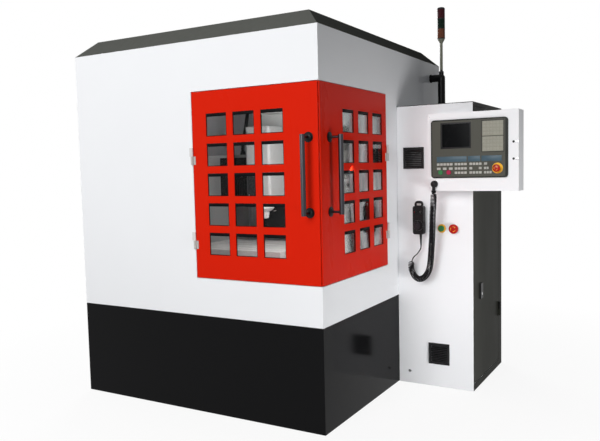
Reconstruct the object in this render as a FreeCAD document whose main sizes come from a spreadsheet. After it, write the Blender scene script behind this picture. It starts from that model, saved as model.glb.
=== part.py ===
"""CNC machining center with a corner-opening enclosure, a control cabinet and a hanging hand pendant.

All sizes are millimetres. Positions are measured from the enclosure's front right corner on the floor:
x grows to the right, y to the back, z up. The frame's origin lies on the floor under the middle of the
whole machine, so every placement takes off MIDDLE["x"] and MIDDLE["y"].
"""

import FreeCAD, Part
import math
import os
import re
import Sketcher

SIZES = [
    # enclosure of folded sheet
    ("encl_width", 1624, "enclosure, left face to right face"),
    ("encl_depth", 1771, "enclosure, front face to rear face"),
    ("skirt_lift", 3, "gap between the floor and the black skirt"),
    ("skirt_top", 538, "height of the black skirt's top edge"),
    ("eave", 2000, "height of the white walls"),
    ("ridge", 2091, "height of the roof's flat top"),
    ("roof_inset", 95, "slope of the roof, measured along the floor"),
    ("sheet_wall", 3, "thickness of the folded sheet"),
    ("fold", 28, "depth of the folded edges"),
    # doors
    ("door_low", 742, "sill of the corner doorway"),
    ("door_high", 1735, "lintel of the corner doorway"),
    ("front_leaf", 769, "doorway's width in the front wall"),
    ("side_leaf", 815, "doorway's width in the right wall"),
    ("leaf_thick", 25, "thickness of a door leaf"),
    ("door_gap", 3, "gap round a door leaf"),
    ("edge_round", 3, "rounding of the two leaves' meeting edges"),
    ("win_wide", 131, "width of a window"),
    ("win_tall", 119, "height of a window"),
    ("win_low", 871, "sill of the lowest windows"),
    ("win_rise", 156.4, "pitch of the window rows"),
    ("win_rows", 5, "rows of windows"),
    ("win_cols", 3, "columns of windows"),
    ("front_win", 674, "from the corner to the front leaf's first window"),
    ("front_pitch", 171, "pitch of the front leaf's columns"),
    ("side_win", 250, "from the corner to the side leaf's first window"),
    ("side_pitch", 185.5, "pitch of the side leaf's columns"),
    ("pane_thick", 5, "thickness of a glass pane"),
    ("pane_edge", 18, "overlap of a pane over its windows"),
    ("pane_set", 5, "depth of a pane behind the leaf's face"),
    ("handle_diam", 25, "diameter of a door's bar handle"),
    ("handle_off", 62, "bar's middle from the leaf's face"),
    ("handle_low", 1090, "lower end of a bar handle"),
    ("handle_high", 1480, "upper end of a bar handle"),
    ("post_diam", 13, "diameter of a handle's post"),
    ("post_inset", 12, "post from the bar's end"),
    ("rosette_diam", 50, "diameter of a handle's rosette"),
    ("rosette_thick", 4, "thickness of a handle's rosette"),
    ("front_handle", 60, "from the corner to the front handle"),
    ("side_handle", 101, "from the corner to the side handle"),
    ("barrel_diam", 14, "diameter of a hinge's barrel"),
    ("barrel_long", 90, "length of a hinge's barrel"),
    ("barrel_gap", 0.5, "gap between a hinge's barrel and the wall"),
    ("pin_diam", 6, "diameter of a hinge's pin"),
    ("pin_play", 0.05, "play round a pin or a shaft"),
    ("strap_long", 20, "length of a hinge's strap beside the barrel"),
    ("strap_thick", 3, "thickness of a hinge's strap"),
    ("door_hinge_low", 900, "bottom of the doors' lower hinges"),
    ("door_hinge_high", 1350, "bottom of the doors' upper hinges"),
    # machine bed and table
    ("foot_diam", 90, "diameter of a levelling foot"),
    ("foot_thick", 18, "thickness of a levelling foot"),
    ("stud_diam", 24, "diameter of a foot's stud"),
    ("bed_low", 60, "underside of the cast bed"),
    ("bed_top", 640, "top of the cast bed"),
    ("bed_left", 1402, "from the corner to the bed's left side"),
    ("bed_right", 222, "from the corner to the bed's right side"),
    ("bed_front", 150, "front of the bed"),
    ("bed_behind", 171, "from the bed's back to the enclosure's back"),
    ("rib", 35, "thickness of the bed's ribs"),
    ("bed_crown", 110, "thickness of the bed's top"),
    ("cell_cols", 5, "cells across the bed's underside"),
    ("cell_rows", 6, "cells along the bed's underside"),
    ("tray_rim", 18, "chip tray's overlap on the bed's front and back"),
    ("axis_middle", 812, "from the corner to the table's middle"),
    ("rail_wide", 30, "width of a guide rail"),
    ("rail_tall", 28, "height of a guide rail"),
    ("rail_play", 0.3, "gap between a rail and its blocks"),
    ("y_rail_half", 275, "table's middle to each rail"),
    ("y_rail_front", 170, "front end of the table's rails"),
    ("y_rail_back", 1300, "back end of the table's rails"),
    ("block_wide", 60, "width of a rail block"),
    ("block_long", 90, "length of a rail block"),
    ("block_tall", 42, "height of a rail block"),
    ("block_lift", 8, "gap between a block and the casting under its rail"),
    ("carriage_front", 400, "front of the table's carriage"),
    ("carriage_back", 840, "back of the table's carriage"),
    ("carriage_half", 310, "half the carriage's width"),
    ("table_low", 790, "underside of the table"),
    ("table_top", 850, "working surface of the table"),
    ("table_half", 350, "half the table's width"),
    ("table_front", 360, "front of the table"),
    ("table_back", 880, "back of the table"),
    ("slot_neck", 14, "width of a table slot"),
    ("slot_head", 24, "width of a table slot's undercut"),
    ("slot_neck_deep", 14, "depth of a table slot's neck"),
    ("slot_head_deep", 10, "depth of a table slot's undercut"),
    ("slot_pitch", 100, "pitch of the table's slots"),
    ("slot_count", 5, "number of table slots"),
    # gantry and head
    ("column", 160, "width of a gantry column"),
    ("gantry_front", 950, "front of the gantry"),
    ("gantry_back", 1200, "back of the gantry"),
    ("beam_low", 1120, "underside of the gantry's beam"),
    ("beam_top", 1420, "top of the gantry's beam"),
    ("gantry_round", 40, "rounding under the gantry's beam"),
    ("x_rail_low", 1180, "height of the beam's lower rail"),
    ("x_rail_high", 1360, "height of the beam's upper rail"),
    ("x_end_gap", 3, "gap between the beam's rails and the columns' line"),
    ("head_middle", 770, "from the corner to the head's middle"),
    ("saddle_half", 130, "half the saddle's width"),
    ("saddle_thick", 40, "thickness of the saddle"),
    ("saddle_low", 1110, "bottom of the saddle"),
    ("saddle_top", 1680, "top of the saddle"),
    ("z_rail_half", 62, "head's middle to each of its rails"),
    ("z_block_low", 1200, "bottom of the head's lower blocks"),
    ("z_block_high", 1340, "bottom of the head's upper blocks"),
    ("head_half", 87, "half the head's width"),
    ("head_front", 620, "front of the head"),
    ("head_low", 1130, "bottom of the head"),
    ("head_top", 1580, "top of the head"),
    ("head_round", 16, "rounding of the head's upright edges"),
    ("motor_side", 84, "side of the head's square motor"),
    ("motor_tall", 140, "height of the head's motor"),
    ("motor_foot", 16, "thickness of the motor's flange"),
    ("motor_lip", 4, "flange of the motor past its case"),
    ("motor_gap", 10, "gap from the motor to the saddle's front"),
    ("plug_diam", 22, "diameter of the motor's plug"),
    ("plug_long", 30, "length of the motor's plug"),
    ("plug_out", 10, "plug in front of the motor"),
    ("plug_drop", 25, "plug below the motor's top"),
    ("shelf_thick", 12, "thickness of the motor's shelf"),
    ("spindle_y", 700, "spindle's axis"),
    ("spindle_diam", 110, "diameter of the spindle's housing"),
    ("spindle_flange", 150, "diameter of the spindle's flange"),
    ("flange_thick", 12, "thickness of the spindle's flange"),
    ("spindle_low", 1060, "bottom of the spindle's housing"),
    ("nose_diam", 46, "diameter of the spindle's nose"),
    ("nose_long", 26, "length of the spindle's nose"),
    ("shaft_diam", 30, "diameter of the spindle's shaft"),
    ("shaft_long", 50, "length of the shaft inside its housing"),
    ("nut_diam", 40, "diameter of the collet nut"),
    ("nut_long", 22, "length of the collet nut"),
    ("collet_bore", 10, "bore of the collet"),
    ("collet_deep", 40, "depth of the collet's bore"),
    ("pleat", 26, "pitch of the bellows' pleats"),
    ("pleat_deep", 10, "depth of the bellows' pleats"),
    ("bellows_thick", 48, "thickness of the upright bellows"),
    ("bellows_low", 1140, "bottom of the upright bellows"),
    ("bellows_top", 1400, "top of the upright bellows"),
    ("cover_low", 673, "bottom of the table's bellows"),
    ("cover_top", 780, "top of the table's bellows"),
    ("light_diam", 46, "diameter of the work lamp"),
    ("light_long", 620, "length of the work lamp"),
    ("light_y", 250, "work lamp's axis from the front"),
    # control cabinet
    ("cab_gap", 1, "gap between the cabinet and the enclosure"),
    ("cab_front", 975, "cabinet's front face"),
    ("cab_width", 460, "cabinet's right face from the enclosure"),
    ("low_hole_x", 67, "middle of the small hole low in the cabinet's front"),
    ("low_hole_z", 73, "height of the small hole"),
    ("low_hole_diam", 16, "diameter of the small hole"),
    ("cab_depth", 656, "depth of the cabinet"),
    ("cab_height", 1673, "height of the cabinet"),
    ("cab_post", 77, "rear post beside the cabinet's door"),
    ("cab_door_thick", 21, "thickness of the cabinet's door"),
    ("cab_door_low", 40, "sill of the cabinet's door"),
    ("cab_door_head", 24, "frame over the cabinet's door"),
    ("cab_lip", 24, "frame behind the cabinet door's edge"),
    ("vent_side", 126, "side of a vent grille"),
    ("vent_thick", 8, "thickness of a vent grille"),
    ("vent_bar", 5, "height of a grille's slot"),
    ("vent_slots", 9, "slots of a vent grille"),
    ("upper_vent_x", 106, "middle of the upper vent"),
    ("upper_vent_z", 1364, "height of the upper vent"),
    ("lower_vent_x", 253, "middle of the lower vent"),
    ("lower_vent_z", 199, "height of the lower vent"),
    ("latch_y", 1124, "middle of the cabinet's latch"),
    ("latch_low", 524, "bottom of the cabinet's latch"),
    ("latch_tall", 91, "height of the cabinet's latch"),
    ("latch_wide", 46, "width of the cabinet's latch"),
    ("latch_thick", 10, "thickness of the cabinet's latch"),
    ("plate_gap", 12, "gap behind the cabinet's mounting plate"),
    ("plate_thick", 3, "thickness of the mounting plate"),
    ("plate_inset", 60, "mounting plate's inset at the front and back"),
    ("plate_edge", 30, "spacers' width and inset on the mounting plate"),
    ("plate_low", 150, "bottom of the mounting plate"),
    ("plate_over", 113, "from the mounting plate to the cabinet's top"),
    ("drive_wide", 92, "width of a drive"),
    ("drive_pitch", 118, "pitch of the drives"),
    ("drive_deep", 170, "depth of a drive"),
    ("drive_low", 1150, "bottom of the drives"),
    ("drive_tall", 270, "height of a drive"),
    ("terminals_deep", 80, "depth of a row of terminals"),
    ("terminals_tall", 90, "height of a row of terminals"),
    ("terminals_high", 900, "bottom of the upper row of terminals"),
    ("terminals_low", 620, "bottom of the lower row of terminals"),
    ("supply_deep", 160, "depth of the power supply"),
    ("supply_wide", 210, "width of the power supply"),
    ("supply_low", 230, "bottom of the power supply"),
    ("supply_tall", 190, "height of the power supply"),
    # operator panel
    ("box_left", 235, "operator box, left side"),
    ("box_wide", 503, "operator box, width"),
    ("box_low", 1172, "operator box, bottom"),
    ("box_tall", 435, "operator box, height"),
    ("box_deep", 116, "operator box, depth"),
    ("bezel_left", 256, "controller's left side"),
    ("bezel_wide", 427, "controller's width"),
    ("bezel_low", 1245, "controller's bottom"),
    ("bezel_tall", 324, "controller's height"),
    ("bezel_thick", 8, "controller's thickness before the box"),
    ("bezel_round", 18, "controller's corner radius"),
    ("screen_left", 320, "screen's left side"),
    ("screen_wide", 156, "screen's width"),
    ("screen_low", 1416, "screen's bottom"),
    ("screen_tall", 128, "screen's height"),
    ("screen_sunk", 3, "screen's depth behind the controller's face"),
    ("keypad_left", 546, "keypad's left side"),
    ("keypad_wide", 113, "keypad's width"),
    ("keypad_low", 1388, "keypad's bottom"),
    ("keypad_tall", 164, "keypad's height"),
    ("keypad_split", 4, "gap between the keypad's two halves"),
    ("keypad_thick", 2, "keypad's thickness before the controller"),
    ("stop_x", 628, "panel stop button's middle"),
    ("stop_z", 1296, "panel stop button's height"),
    ("collar_diam", 58, "panel stop's collar"),
    ("collar_thick", 4, "thickness of a button's collar"),
    ("start_x", 312, "panel start button's middle"),
    ("hold_x", 359, "panel hold button's middle"),
    ("start_z", 1277, "height of the panel's two buttons"),
    ("key_diam", 26, "diameter of the panel's two buttons"),
    ("cab_start_x", 275, "cabinet start button's middle"),
    ("cab_stop_x", 350, "cabinet stop button's middle"),
    ("cab_button_z", 949, "height of the cabinet's buttons"),
    ("cab_stop_diam", 55, "diameter of the cabinet's stop button"),
    ("cab_stop_collar", 39.6, "diameter of the cabinet's stop collar"),
    ("panel_stop_diam", 40, "diameter of the panel's stop button"),
    ("cab_start_diam", 35, "diameter of the cabinet's start button"),
    ("cab_start_collar", 50, "diameter of the collar of the cabinet's start button"),
    ("cab_start_tall", 14, "height of the cabinet start button's cap"),
    ("key_tall", 5, "height of the cap of a panel button"),
    ("panel_stop_neck", 11, "height of the neck under the panel stop's head"),
    ("cab_stop_neck", 2, "height of the neck under the cabinet stop's head"),
    ("stem_diam", 16, "diameter of a button's stem"),
    ("stem_play", 0.3, "play round a button's stem"),
    ("stop_travel", 5, "travel of a stop button"),
    ("key_travel", 3, "travel of a start button"),
    # pendant
    ("pend_x", 155, "pendant's middle"),
    ("pend_wide", 66, "pendant's width"),
    ("pend_low", 917, "bottom of the pendant's body"),
    ("pend_tall", 166, "height of the pendant's body"),
    ("pend_front", 905, "front of the pendant"),
    ("pend_thick", 36, "thickness of the pendant"),
    ("pend_round", 12, "rounding of the pendant's corners"),
    ("loop_z", 1092, "height of the middle of the hanging loop's hole"),
    ("loop_rise", 21, "hanging loop's top above its hole's middle"),
    ("loop_wide", 50, "width of the hanging loop"),
    ("loop_round", 20, "rounding of the hanging loop's corners"),
    ("loop_thick", 14, "thickness of the hanging loop"),
    ("loop_foot", 30, "depth of the hanging loop's foot in the body"),
    ("hole_wide", 31, "width of the hanging loop's hole"),
    ("hole_tall", 13, "height of the hanging loop's hole"),
    ("peg_diam", 8, "diameter of the pendant's peg"),
    ("peg_foot", 18, "diameter of the peg's foot"),
    ("wheel_z", 969, "height of the handwheel"),
    ("wheel_diam", 58, "diameter of the handwheel"),
    ("wheel_thick", 9, "thickness of the handwheel"),
    ("wheel_gap", 0.5, "gap behind the handwheel and the knobs"),
    ("knob_z", 1044, "height of the pendant's two knobs"),
    ("knob_off", 17, "knob from the pendant's middle"),
    ("knob_diam", 22, "diameter of a knob"),
    ("knob_tall", 14, "height of a knob"),
    ("boot_z", 851, "bottom of the pendant's cord boot"),
    ("boot_off", 10, "cord boot beside the pendant's middle"),
    ("boot_root", 17, "diameter of the pendant boot's upper end"),
    ("boot_end", 9, "diameter of the pendant boot's lower end"),
    # cord
    ("cord_diam", 6, "diameter of the pendant's cord"),
    ("coil_diam", 37, "outer diameter of the curly cord"),
    ("gland_x", 273, "cord gland's middle"),
    ("gland_z", 1212, "height of the cord gland"),
    ("gland_diam", 40, "diameter of the cord gland"),
    ("gland_deep", 29, "depth of the cord gland"),
    ("outlet_diam", 18, "diameter of the cord's outlet"),
    ("outlet_drop", 36, "outlet's mouth below the gland's middle"),
    ("outlet_out", 15, "outlet's middle before the operator box"),
    ("outlet_side", 1, "outlet's middle beside the gland's middle"),
    ("boot_wide", 20, "diameter of the cord boot's foot"),
    ("boot_top", 30, "diameter of the cord boot's top"),
    ("boot_play", 0.6, "gap at each end of the cord boot"),
    ("conduit_diam", 28, "diameter of the beam's conduit"),
    ("mouth_long", 26, "length of a conduit's gland"),
    ("mouth_wall", 6, "wall of a conduit's gland"),
    # signal tower and cable duct
    ("tower_x", 76, "tower's axis from the enclosure"),
    ("tower_y", 1592, "tower's axis from the front"),
    ("duct_diam", 48, "diameter of the cable duct"),
    ("duct_rise", 225, "height of the duct's arm above the cabinet"),
    ("duct_flange", 55, "diameter of the duct's flange on the wall"),
    ("foot_flange", 52.25, "diameter of the duct's flange on the cabinet"),
    ("duct_flange_thick", 6, "thickness of the duct's flanges"),
    ("socket_tall", 8, "height of the tower's socket above the duct"),
    ("socket_wall", 6, "wall of the tower's socket"),
    ("pole_diam", 19, "diameter of the tower's pole"),
    ("pole_tall", 225, "height of the tower's pole with its seat"),
    ("lamp_diam", 50, "diameter of the tower's lamps"),
    ("lamp_tall", 64, "height of one lamp"),
    ("lamp_cap", 12, "height of the tower's cap"),
]

MIDDLE = {
    "x": "((box_left + box_wide - encl_width) / 2)",
    "y": "((encl_depth - handle_off - handle_diam / 2) / 2)",
    "z": "0",
}
ALIASES = {alias for alias, value, note in SIZES}
# each origin plane: its own two axes, the axis across it, and whether its normal points along that axis
PLANES = {"XY": ("x", "y", "z", 1), "XZ": ("x", "z", "y", -1), "YZ": ("y", "z", "x", 1)}
TURNS = {
    "x": FreeCAD.Rotation(FreeCAD.Vector(0, 1, 0), 90),
    "-x": FreeCAD.Rotation(FreeCAD.Vector(0, 1, 0), -90),
    "y": FreeCAD.Rotation(FreeCAD.Vector(1, 0, 0), -90),
    "-y": FreeCAD.Rotation(FreeCAD.Vector(1, 0, 0), 90),
    "z": FreeCAD.Rotation(),
    "-z": FreeCAD.Rotation(FreeCAD.Vector(1, 0, 0), 180),
}

doc = FreeCAD.newDocument("machining_center")


def make_sheet():
    """The driving dimensions: a note, a number and its name in each row."""
    sheet = doc.addObject("Spreadsheet::Sheet", "sizes")
    for row, (alias, value, note) in enumerate(SIZES, start=1):
        sheet.set(f"A{row}", note)
        sheet.set(f"B{row}", str(value))
        sheet.setAlias(f"B{row}", alias)
    doc.recompute()
    return sheet


SHEET = make_sheet()


# --- small tools: expressions, primitives and sketches ---


def ref(text):
    """An expression that names the sheet's cells."""
    return re.sub(r"[a-z][a-z_]*", lambda m: f"sizes.{m[0]}" if m[0] in ALIASES else m[0], str(text))


def number(text):
    """The value of an expression."""
    return float(SHEET.evalExpression(ref(text)))


def bind(item, prop, text):
    item.setExpression(prop, ref(text))


def world(axis, text):
    """An expression for a position, in the frame of the whole machine."""
    return f"({text}) - {MIDDLE[axis]}"


def at(item, x, y, z, turn="z"):
    """Places an object at a position, its own z axis turned along `turn`."""
    item.Placement.Rotation = TURNS[turn]
    bind(item, "Placement.Base.x", world("x", x))
    bind(item, "Placement.Base.y", world("y", y))
    bind(item, "Placement.Base.z", z)
    return item


def box(name, x, y, z):
    """A box from its two limits along each axis."""
    item = doc.addObject("Part::Box", name)
    at(item, x[0], y[0], z[0])
    bind(item, "Length", f"({x[1]}) - ({x[0]})")
    bind(item, "Width", f"({y[1]}) - ({y[0]})")
    bind(item, "Height", f"({z[1]}) - ({z[0]})")
    return item


def rod(name, start, length, diameter, turn="z"):
    """A cylinder that starts at a point and runs along `turn`."""
    item = doc.addObject("Part::Cylinder", name)
    at(item, *start, turn)
    bind(item, "Radius", f"({diameter}) / 2")
    bind(item, "Height", length)
    return item


def cone(name, start, length, first, last, turn="z"):
    """A cone from its first to its last diameter."""
    item = doc.addObject("Part::Cone", name)
    at(item, *start, turn)
    bind(item, "Radius1", f"({first}) / 2")
    bind(item, "Radius2", f"({last}) / 2")
    bind(item, "Height", length)
    return item


def fuse(name, pieces):
    item = doc.addObject("Part::MultiFuse", name)
    item.Shapes = pieces
    return item


def cut(name, base, tools):
    """The base less its tools."""
    item = doc.addObject("Part::Cut", name)
    item.Base = base
    item.Tool = tools[0] if len(tools) == 1 else fuse(f"{name}_tools", tools)
    return item


def group(name, pieces):
    """Separate solids in one node."""
    item = doc.addObject("Part::Compound", name)
    item.Links = pieces
    return item


def new_body(name):
    return doc.addObject("PartDesign::Body", name)


def origin_feature(body, role):
    return next(item for item in body.Origin.OriginFeatures if item.Role == role)


def pin_point(sketch, index, place, axis, text):
    """Fixes one coordinate of a point, on the sketch's own axis or at a bound distance from it."""
    if text == "0":
        sketch.addConstraint(Sketcher.Constraint("PointOnObject", index, place, -2 if axis == "X" else -1))
        return
    distance = Sketcher.Constraint(f"Distance{axis}", -1, 1, index, place, number(text))
    bind(sketch, f"Constraints[{sketch.addConstraint(distance)}]", text)


def draw_polygon(sketch, points):
    """A closed polygon whose corners are bound to expressions."""
    corners = [FreeCAD.Vector(number(a), number(b), 0) for a, b in points]
    first = sketch.GeometryCount
    for i, corner in enumerate(corners):
        sketch.addGeometry(Part.LineSegment(corner, corners[(i + 1) % len(corners)]), False)
    for i, (a, b) in enumerate(points):
        after = first + (i + 1) % len(points)
        sketch.addConstraint(Sketcher.Constraint("Coincident", first + i, 2, after, 1))
        pin_point(sketch, first + i, 1, "X", a)
        pin_point(sketch, first + i, 1, "Y", b)


def draw_circle(sketch, a, b, radius):
    centre = FreeCAD.Vector(number(a), number(b), 0)
    index = sketch.addGeometry(Part.Circle(centre, FreeCAD.Vector(0, 0, 1), number(radius)), False)
    pin_point(sketch, index, 3, "X", a)
    pin_point(sketch, index, 3, "Y", b)
    limit = sketch.addConstraint(Sketcher.Constraint("Radius", index, number(radius)))
    bind(sketch, f"Constraints[{limit}]", radius)


def rect(a, b):
    """The corners of a rectangle from its limits along a plane's two axes."""
    return [(a[0], b[0]), (a[1], b[0]), (a[1], b[1]), (a[0], b[1])]


def new_sketch(body, plane, outline, level, local=False):
    """A sketch on an origin plane, moved to a level across it. A circle is (a, b, radius)."""
    axis_a, axis_b, across, sign = PLANES[plane]
    sketch = body.newObject("Sketcher::SketchObject", f"{body.Name}_sketch")
    sketch.AttachmentSupport = (origin_feature(body, f"{plane}_Plane"), [""])
    sketch.MapMode = "FlatFace"
    lift = level if local else world(across, level)
    bind(sketch, "AttachmentOffset.Base.z", lift if sign > 0 else f"-({lift})")
    if not local and len(outline) == 3 and isinstance(outline[0], str):
        outline = (world(axis_a, outline[0]), world(axis_b, outline[1]), outline[2])
    elif not local:
        outline = [(world(axis_a, a), world(axis_b, b)) for a, b in outline]
    if isinstance(outline[0], str):
        draw_circle(sketch, *outline)
    else:
        draw_polygon(sketch, outline)
    return sketch


def pad(body, plane, outline, low, high, local=False):
    """Adds an outline between two levels across its plane."""
    start = low if PLANES[plane][3] > 0 else high
    sketch = new_sketch(body, plane, outline, start, local)
    feature = body.newObject("PartDesign::Pad", f"{body.Name}_pad")
    feature.Profile = sketch
    bind(feature, "Length", f"({high}) - ({low})")
    doc.recompute()
    return feature


def pocket(body, plane, outline, low, high, local=False):
    """Cuts an outline between two levels across its plane, and checks that it cuts."""
    before = body.Shape.Volume
    start = high if PLANES[plane][3] > 0 else low
    sketch = new_sketch(body, plane, outline, start, local)
    feature = body.newObject("PartDesign::Pocket", f"{body.Name}_pocket")
    feature.Profile = sketch
    feature.Type = "Length"
    bind(feature, "Length", f"({high}) - ({low})")
    doc.recompute()
    if body.Shape.Volume >= before:
        raise ValueError(f"{feature.Name} cuts nothing")
    return feature


def revolve(body, points):
    """Turns a half section (radius, height) about the body's own z axis."""
    sketch = new_sketch(body, "XZ", points, "0", local=True)
    feature = body.newObject("PartDesign::Revolution", f"{body.Name}_turn")
    feature.Profile = sketch
    feature.ReferenceAxis = (sketch, ["V_Axis"])
    feature.Angle = 360
    doc.recompute()
    return feature


def repeat(body, feature, rows):
    """Repeats a feature along one or two axes: (axis, copies, pitch) for each."""
    steps = []
    many = body.newObject("PartDesign::MultiTransform", f"{body.Name}_grid")
    for axis, count, pitch in rows:
        step = body.newObject("PartDesign::LinearPattern", f"{body.Name}_row")
        step.Direction = (origin_feature(body, f"{axis.upper()}_Axis"), [""])
        bind(step, "Length", f"({pitch}) * ({count} - 1)")
        bind(step, "Occurrences", count)
        steps.append(step)
    many.Originals = [feature]
    many.Transformations = steps
    body.Tip = many
    doc.recompute()
    return many


def edges_along(shape, direction, keep):
    """Names of the straight edges along a direction whose middle passes `keep`."""
    names = []
    for index, edge in enumerate(shape.Edges, start=1):
        straight = isinstance(edge.Curve, Part.Line)
        if straight and abs(edge.Curve.Direction.dot(direction)) > 0.999 and keep(edge.CenterOfMass):
            names.append(f"Edge{index}")
    return names


def round_edges(body, radius, direction, keep=lambda middle: True):
    """Rounds the body's edges along a direction."""
    base = body.Tip
    names = edges_along(base.Shape, direction, keep)
    feature = body.newObject("PartDesign::Fillet", f"{body.Name}_round")
    feature.Base = (base, names)
    bind(feature, "Radius", radius)
    doc.recompute()
    return feature


BED_BACK = "(encl_depth - bed_behind)"
ALONG_X = FreeCAD.Vector(1, 0, 0)
ALONG_Y = FreeCAD.Vector(0, 1, 0)
ALONG_Z = FreeCAD.Vector(0, 0, 1)


# --- enclosure ---


def skirt():
    """The black plinth: four walls of sheet, open above and below."""
    outer = box("skirt_outer", ("-encl_width", "0"), ("0", "encl_depth"), ("skirt_lift", "skirt_top"))
    inner = box(
        "skirt_inner",
        ("sheet_wall - encl_width", "-sheet_wall"),
        ("sheet_wall", "encl_depth - sheet_wall"),
        ("skirt_lift - 1", "skirt_top + 1"),
    )
    return cut("skirt", outer, [inner])


def wall_front():
    """Front wall: a folded tray with the doorway's notch, its ends left flat for the side walls."""
    body = new_body("wall_front")
    outline = [
        ("-encl_width", "skirt_top"),
        ("0", "skirt_top"),
        ("0", "door_low"),
        ("-front_leaf", "door_low"),
        ("-front_leaf", "door_high"),
        ("0", "door_high"),
        ("0", "eave"),
        ("-encl_width", "eave"),
    ]
    inside = [
        ("fold - encl_width - 1", "skirt_top + sheet_wall"),
        ("1 - fold", "skirt_top + sheet_wall"),
        ("1 - fold", "door_low - sheet_wall"),
        ("-front_leaf - sheet_wall", "door_low - sheet_wall"),
        ("-front_leaf - sheet_wall", "door_high + sheet_wall"),
        ("1 - fold", "door_high + sheet_wall"),
        ("1 - fold", "eave - sheet_wall"),
        ("fold - encl_width - 1", "eave - sheet_wall"),
    ]
    pad(body, "XZ", outline, "0", "fold")
    pocket(body, "XZ", inside, "sheet_wall", "fold")
    pocket(body, "XZ", rect(("-fold", "1"), ("skirt_top - 1", "eave + 1")), "sheet_wall", "fold")
    left_end = ("-encl_width - 1", "fold - encl_width")
    pocket(body, "XZ", rect(left_end, ("skirt_top - 1", "eave + 1")), "sheet_wall", "fold")
    return body


def wall_right():
    """Right wall: a folded tray with the doorway's notch, between the front and rear walls."""
    body = new_body("wall_right")
    front = "sheet_wall"
    back = "encl_depth - sheet_wall"
    outline = [
        (front, "skirt_top"),
        (back, "skirt_top"),
        (back, "eave"),
        (front, "eave"),
        (front, "door_high"),
        ("side_leaf", "door_high"),
        ("side_leaf", "door_low"),
        (front, "door_low"),
    ]
    inside = [
        (f"{front} + sheet_wall", "skirt_top + sheet_wall"),
        (f"{back} - sheet_wall", "skirt_top + sheet_wall"),
        (f"{back} - sheet_wall", "eave - sheet_wall"),
        (f"{front} + sheet_wall", "eave - sheet_wall"),
        (f"{front} + sheet_wall", "door_high + sheet_wall"),
        ("side_leaf + sheet_wall", "door_high + sheet_wall"),
        ("side_leaf + sheet_wall", "door_low - sheet_wall"),
        (f"{front} + sheet_wall", "door_low - sheet_wall"),
    ]
    pad(body, "YZ", outline, "-fold", "0")
    pocket(body, "YZ", inside, "-fold", "-sheet_wall")
    return body


def wall_left():
    """Left wall: a plain folded tray between the front and rear walls."""
    body = new_body("wall_left")
    across = ("sheet_wall", "encl_depth - sheet_wall")
    pad(body, "YZ", rect(across, ("skirt_top", "eave")), "-encl_width", "fold - encl_width")
    across = ("2 * sheet_wall", "encl_depth - 2 * sheet_wall")
    up = ("skirt_top + sheet_wall", "eave - sheet_wall")
    pocket(body, "YZ", rect(across, up), "sheet_wall - encl_width", "fold - encl_width")
    return body


def wall_rear():
    """Rear wall: a tray with folds above and below only, which covers the side walls' ends."""
    body = new_body("wall_rear")
    pad(body, "XZ", rect(("-encl_width", "0"), ("skirt_top", "eave")), "encl_depth - fold", "encl_depth")
    up = ("skirt_top + sheet_wall", "eave - sheet_wall")
    inside = ("fold - encl_width - 1", "1 - fold")
    pocket(body, "XZ", rect(inside, up), "encl_depth - fold", "encl_depth - sheet_wall")
    for ends in (("-fold", "1"), ("-encl_width - 1", "fold - encl_width")):
        up = ("skirt_top - 1", "eave + 1")
        pocket(body, "XZ", rect(ends, up), "encl_depth - fold", "encl_depth - sheet_wall")
    return body


def slope(body, kind, wall):
    """Lofts the roof's slopes from the eave to the ridge, at a distance inside its outer face."""
    sketches = []
    for level, inset in (("eave", wall), (f"ridge - {wall}", f"roof_inset + {wall}")):
        across = (f"-encl_width + {inset}", f"-({inset})")
        along = (inset, f"encl_depth - ({inset})")
        sketches.append(new_sketch(body, "XY", rect(across, along), level))
    feature = body.newObject(f"PartDesign::{kind}", f"{body.Name}_{kind.lower()}")
    feature.Profile = sketches[0]
    feature.Sections = [sketches[1]]
    doc.recompute()
    return feature


def roof_cap():
    """The grey roof: a low hipped cap of sheet, open below."""
    body = new_body("roof_cap")
    slope(body, "AdditiveLoft", "0")
    solid = body.Shape.Volume
    slope(body, "SubtractiveLoft", "sheet_wall")
    if body.Shape.Volume >= solid:
        raise ValueError("the roof isn't hollow")
    return body


def chip_tray():
    """The sheet tray that rests on the bed's rim and meets the walls and the gantry's columns."""
    plate = box(
        "tray_plate",
        ("sheet_wall - encl_width", "-sheet_wall"),
        ("2 * sheet_wall", "encl_depth - 2 * sheet_wall"),
        ("bed_top", "bed_top + sheet_wall"),
    )
    hole = box(
        "tray_hole",
        ("-bed_left", "-bed_right"),
        ("bed_front + tray_rim", f"{BED_BACK} - tray_rim"),
        ("bed_top - 1", "bed_top + sheet_wall + 1"),
    )
    return cut("chip_tray", plate, [hole])


def work_lamp():
    """A tubular work lamp under the roof, on two hangers from the roof's flat top."""
    top = "ridge - sheet_wall"
    start = "-axis_middle - light_long / 2"
    level = "eave - light_diam"
    tube = rod("lamp_tube", (start, "light_y", level), "light_long", "light_diam", "x")
    hangers = []
    for name, part in (("left", "light_long / 5"), ("right", "light_long * 4 / 5")):
        across = (f"{start} + {part} - 10", f"{start} + {part} + 10")
        along = ("light_y - 2", "light_y + 2")
        hangers.append(box(f"lamp_hanger_{name}", across, along, (level, top)))
    return fuse("work_lamp", [tube] + hangers)


# --- corner doors ---


def leaf(name, plane, plan, first_window, pitch, levels, corner):
    """A door leaf: a plan with a mitred free edge, windows, and a recess behind them for the pane."""
    body = new_body(name)
    outer, inner = levels
    pad(body, "XY", plan, "door_low + door_gap", "door_high - door_gap")
    round_edges(body, "edge_round", ALONG_Z, corner)
    axis = PLANES[plane][0]
    up = ("win_low", "win_low + win_tall")
    window = pocket(body, plane, rect((first_window, f"{first_window} + win_wide"), up), outer, inner)
    repeat(body, window, [(axis, "win_cols", pitch), ("z", "win_rows", "win_rise")])
    return body


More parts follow.
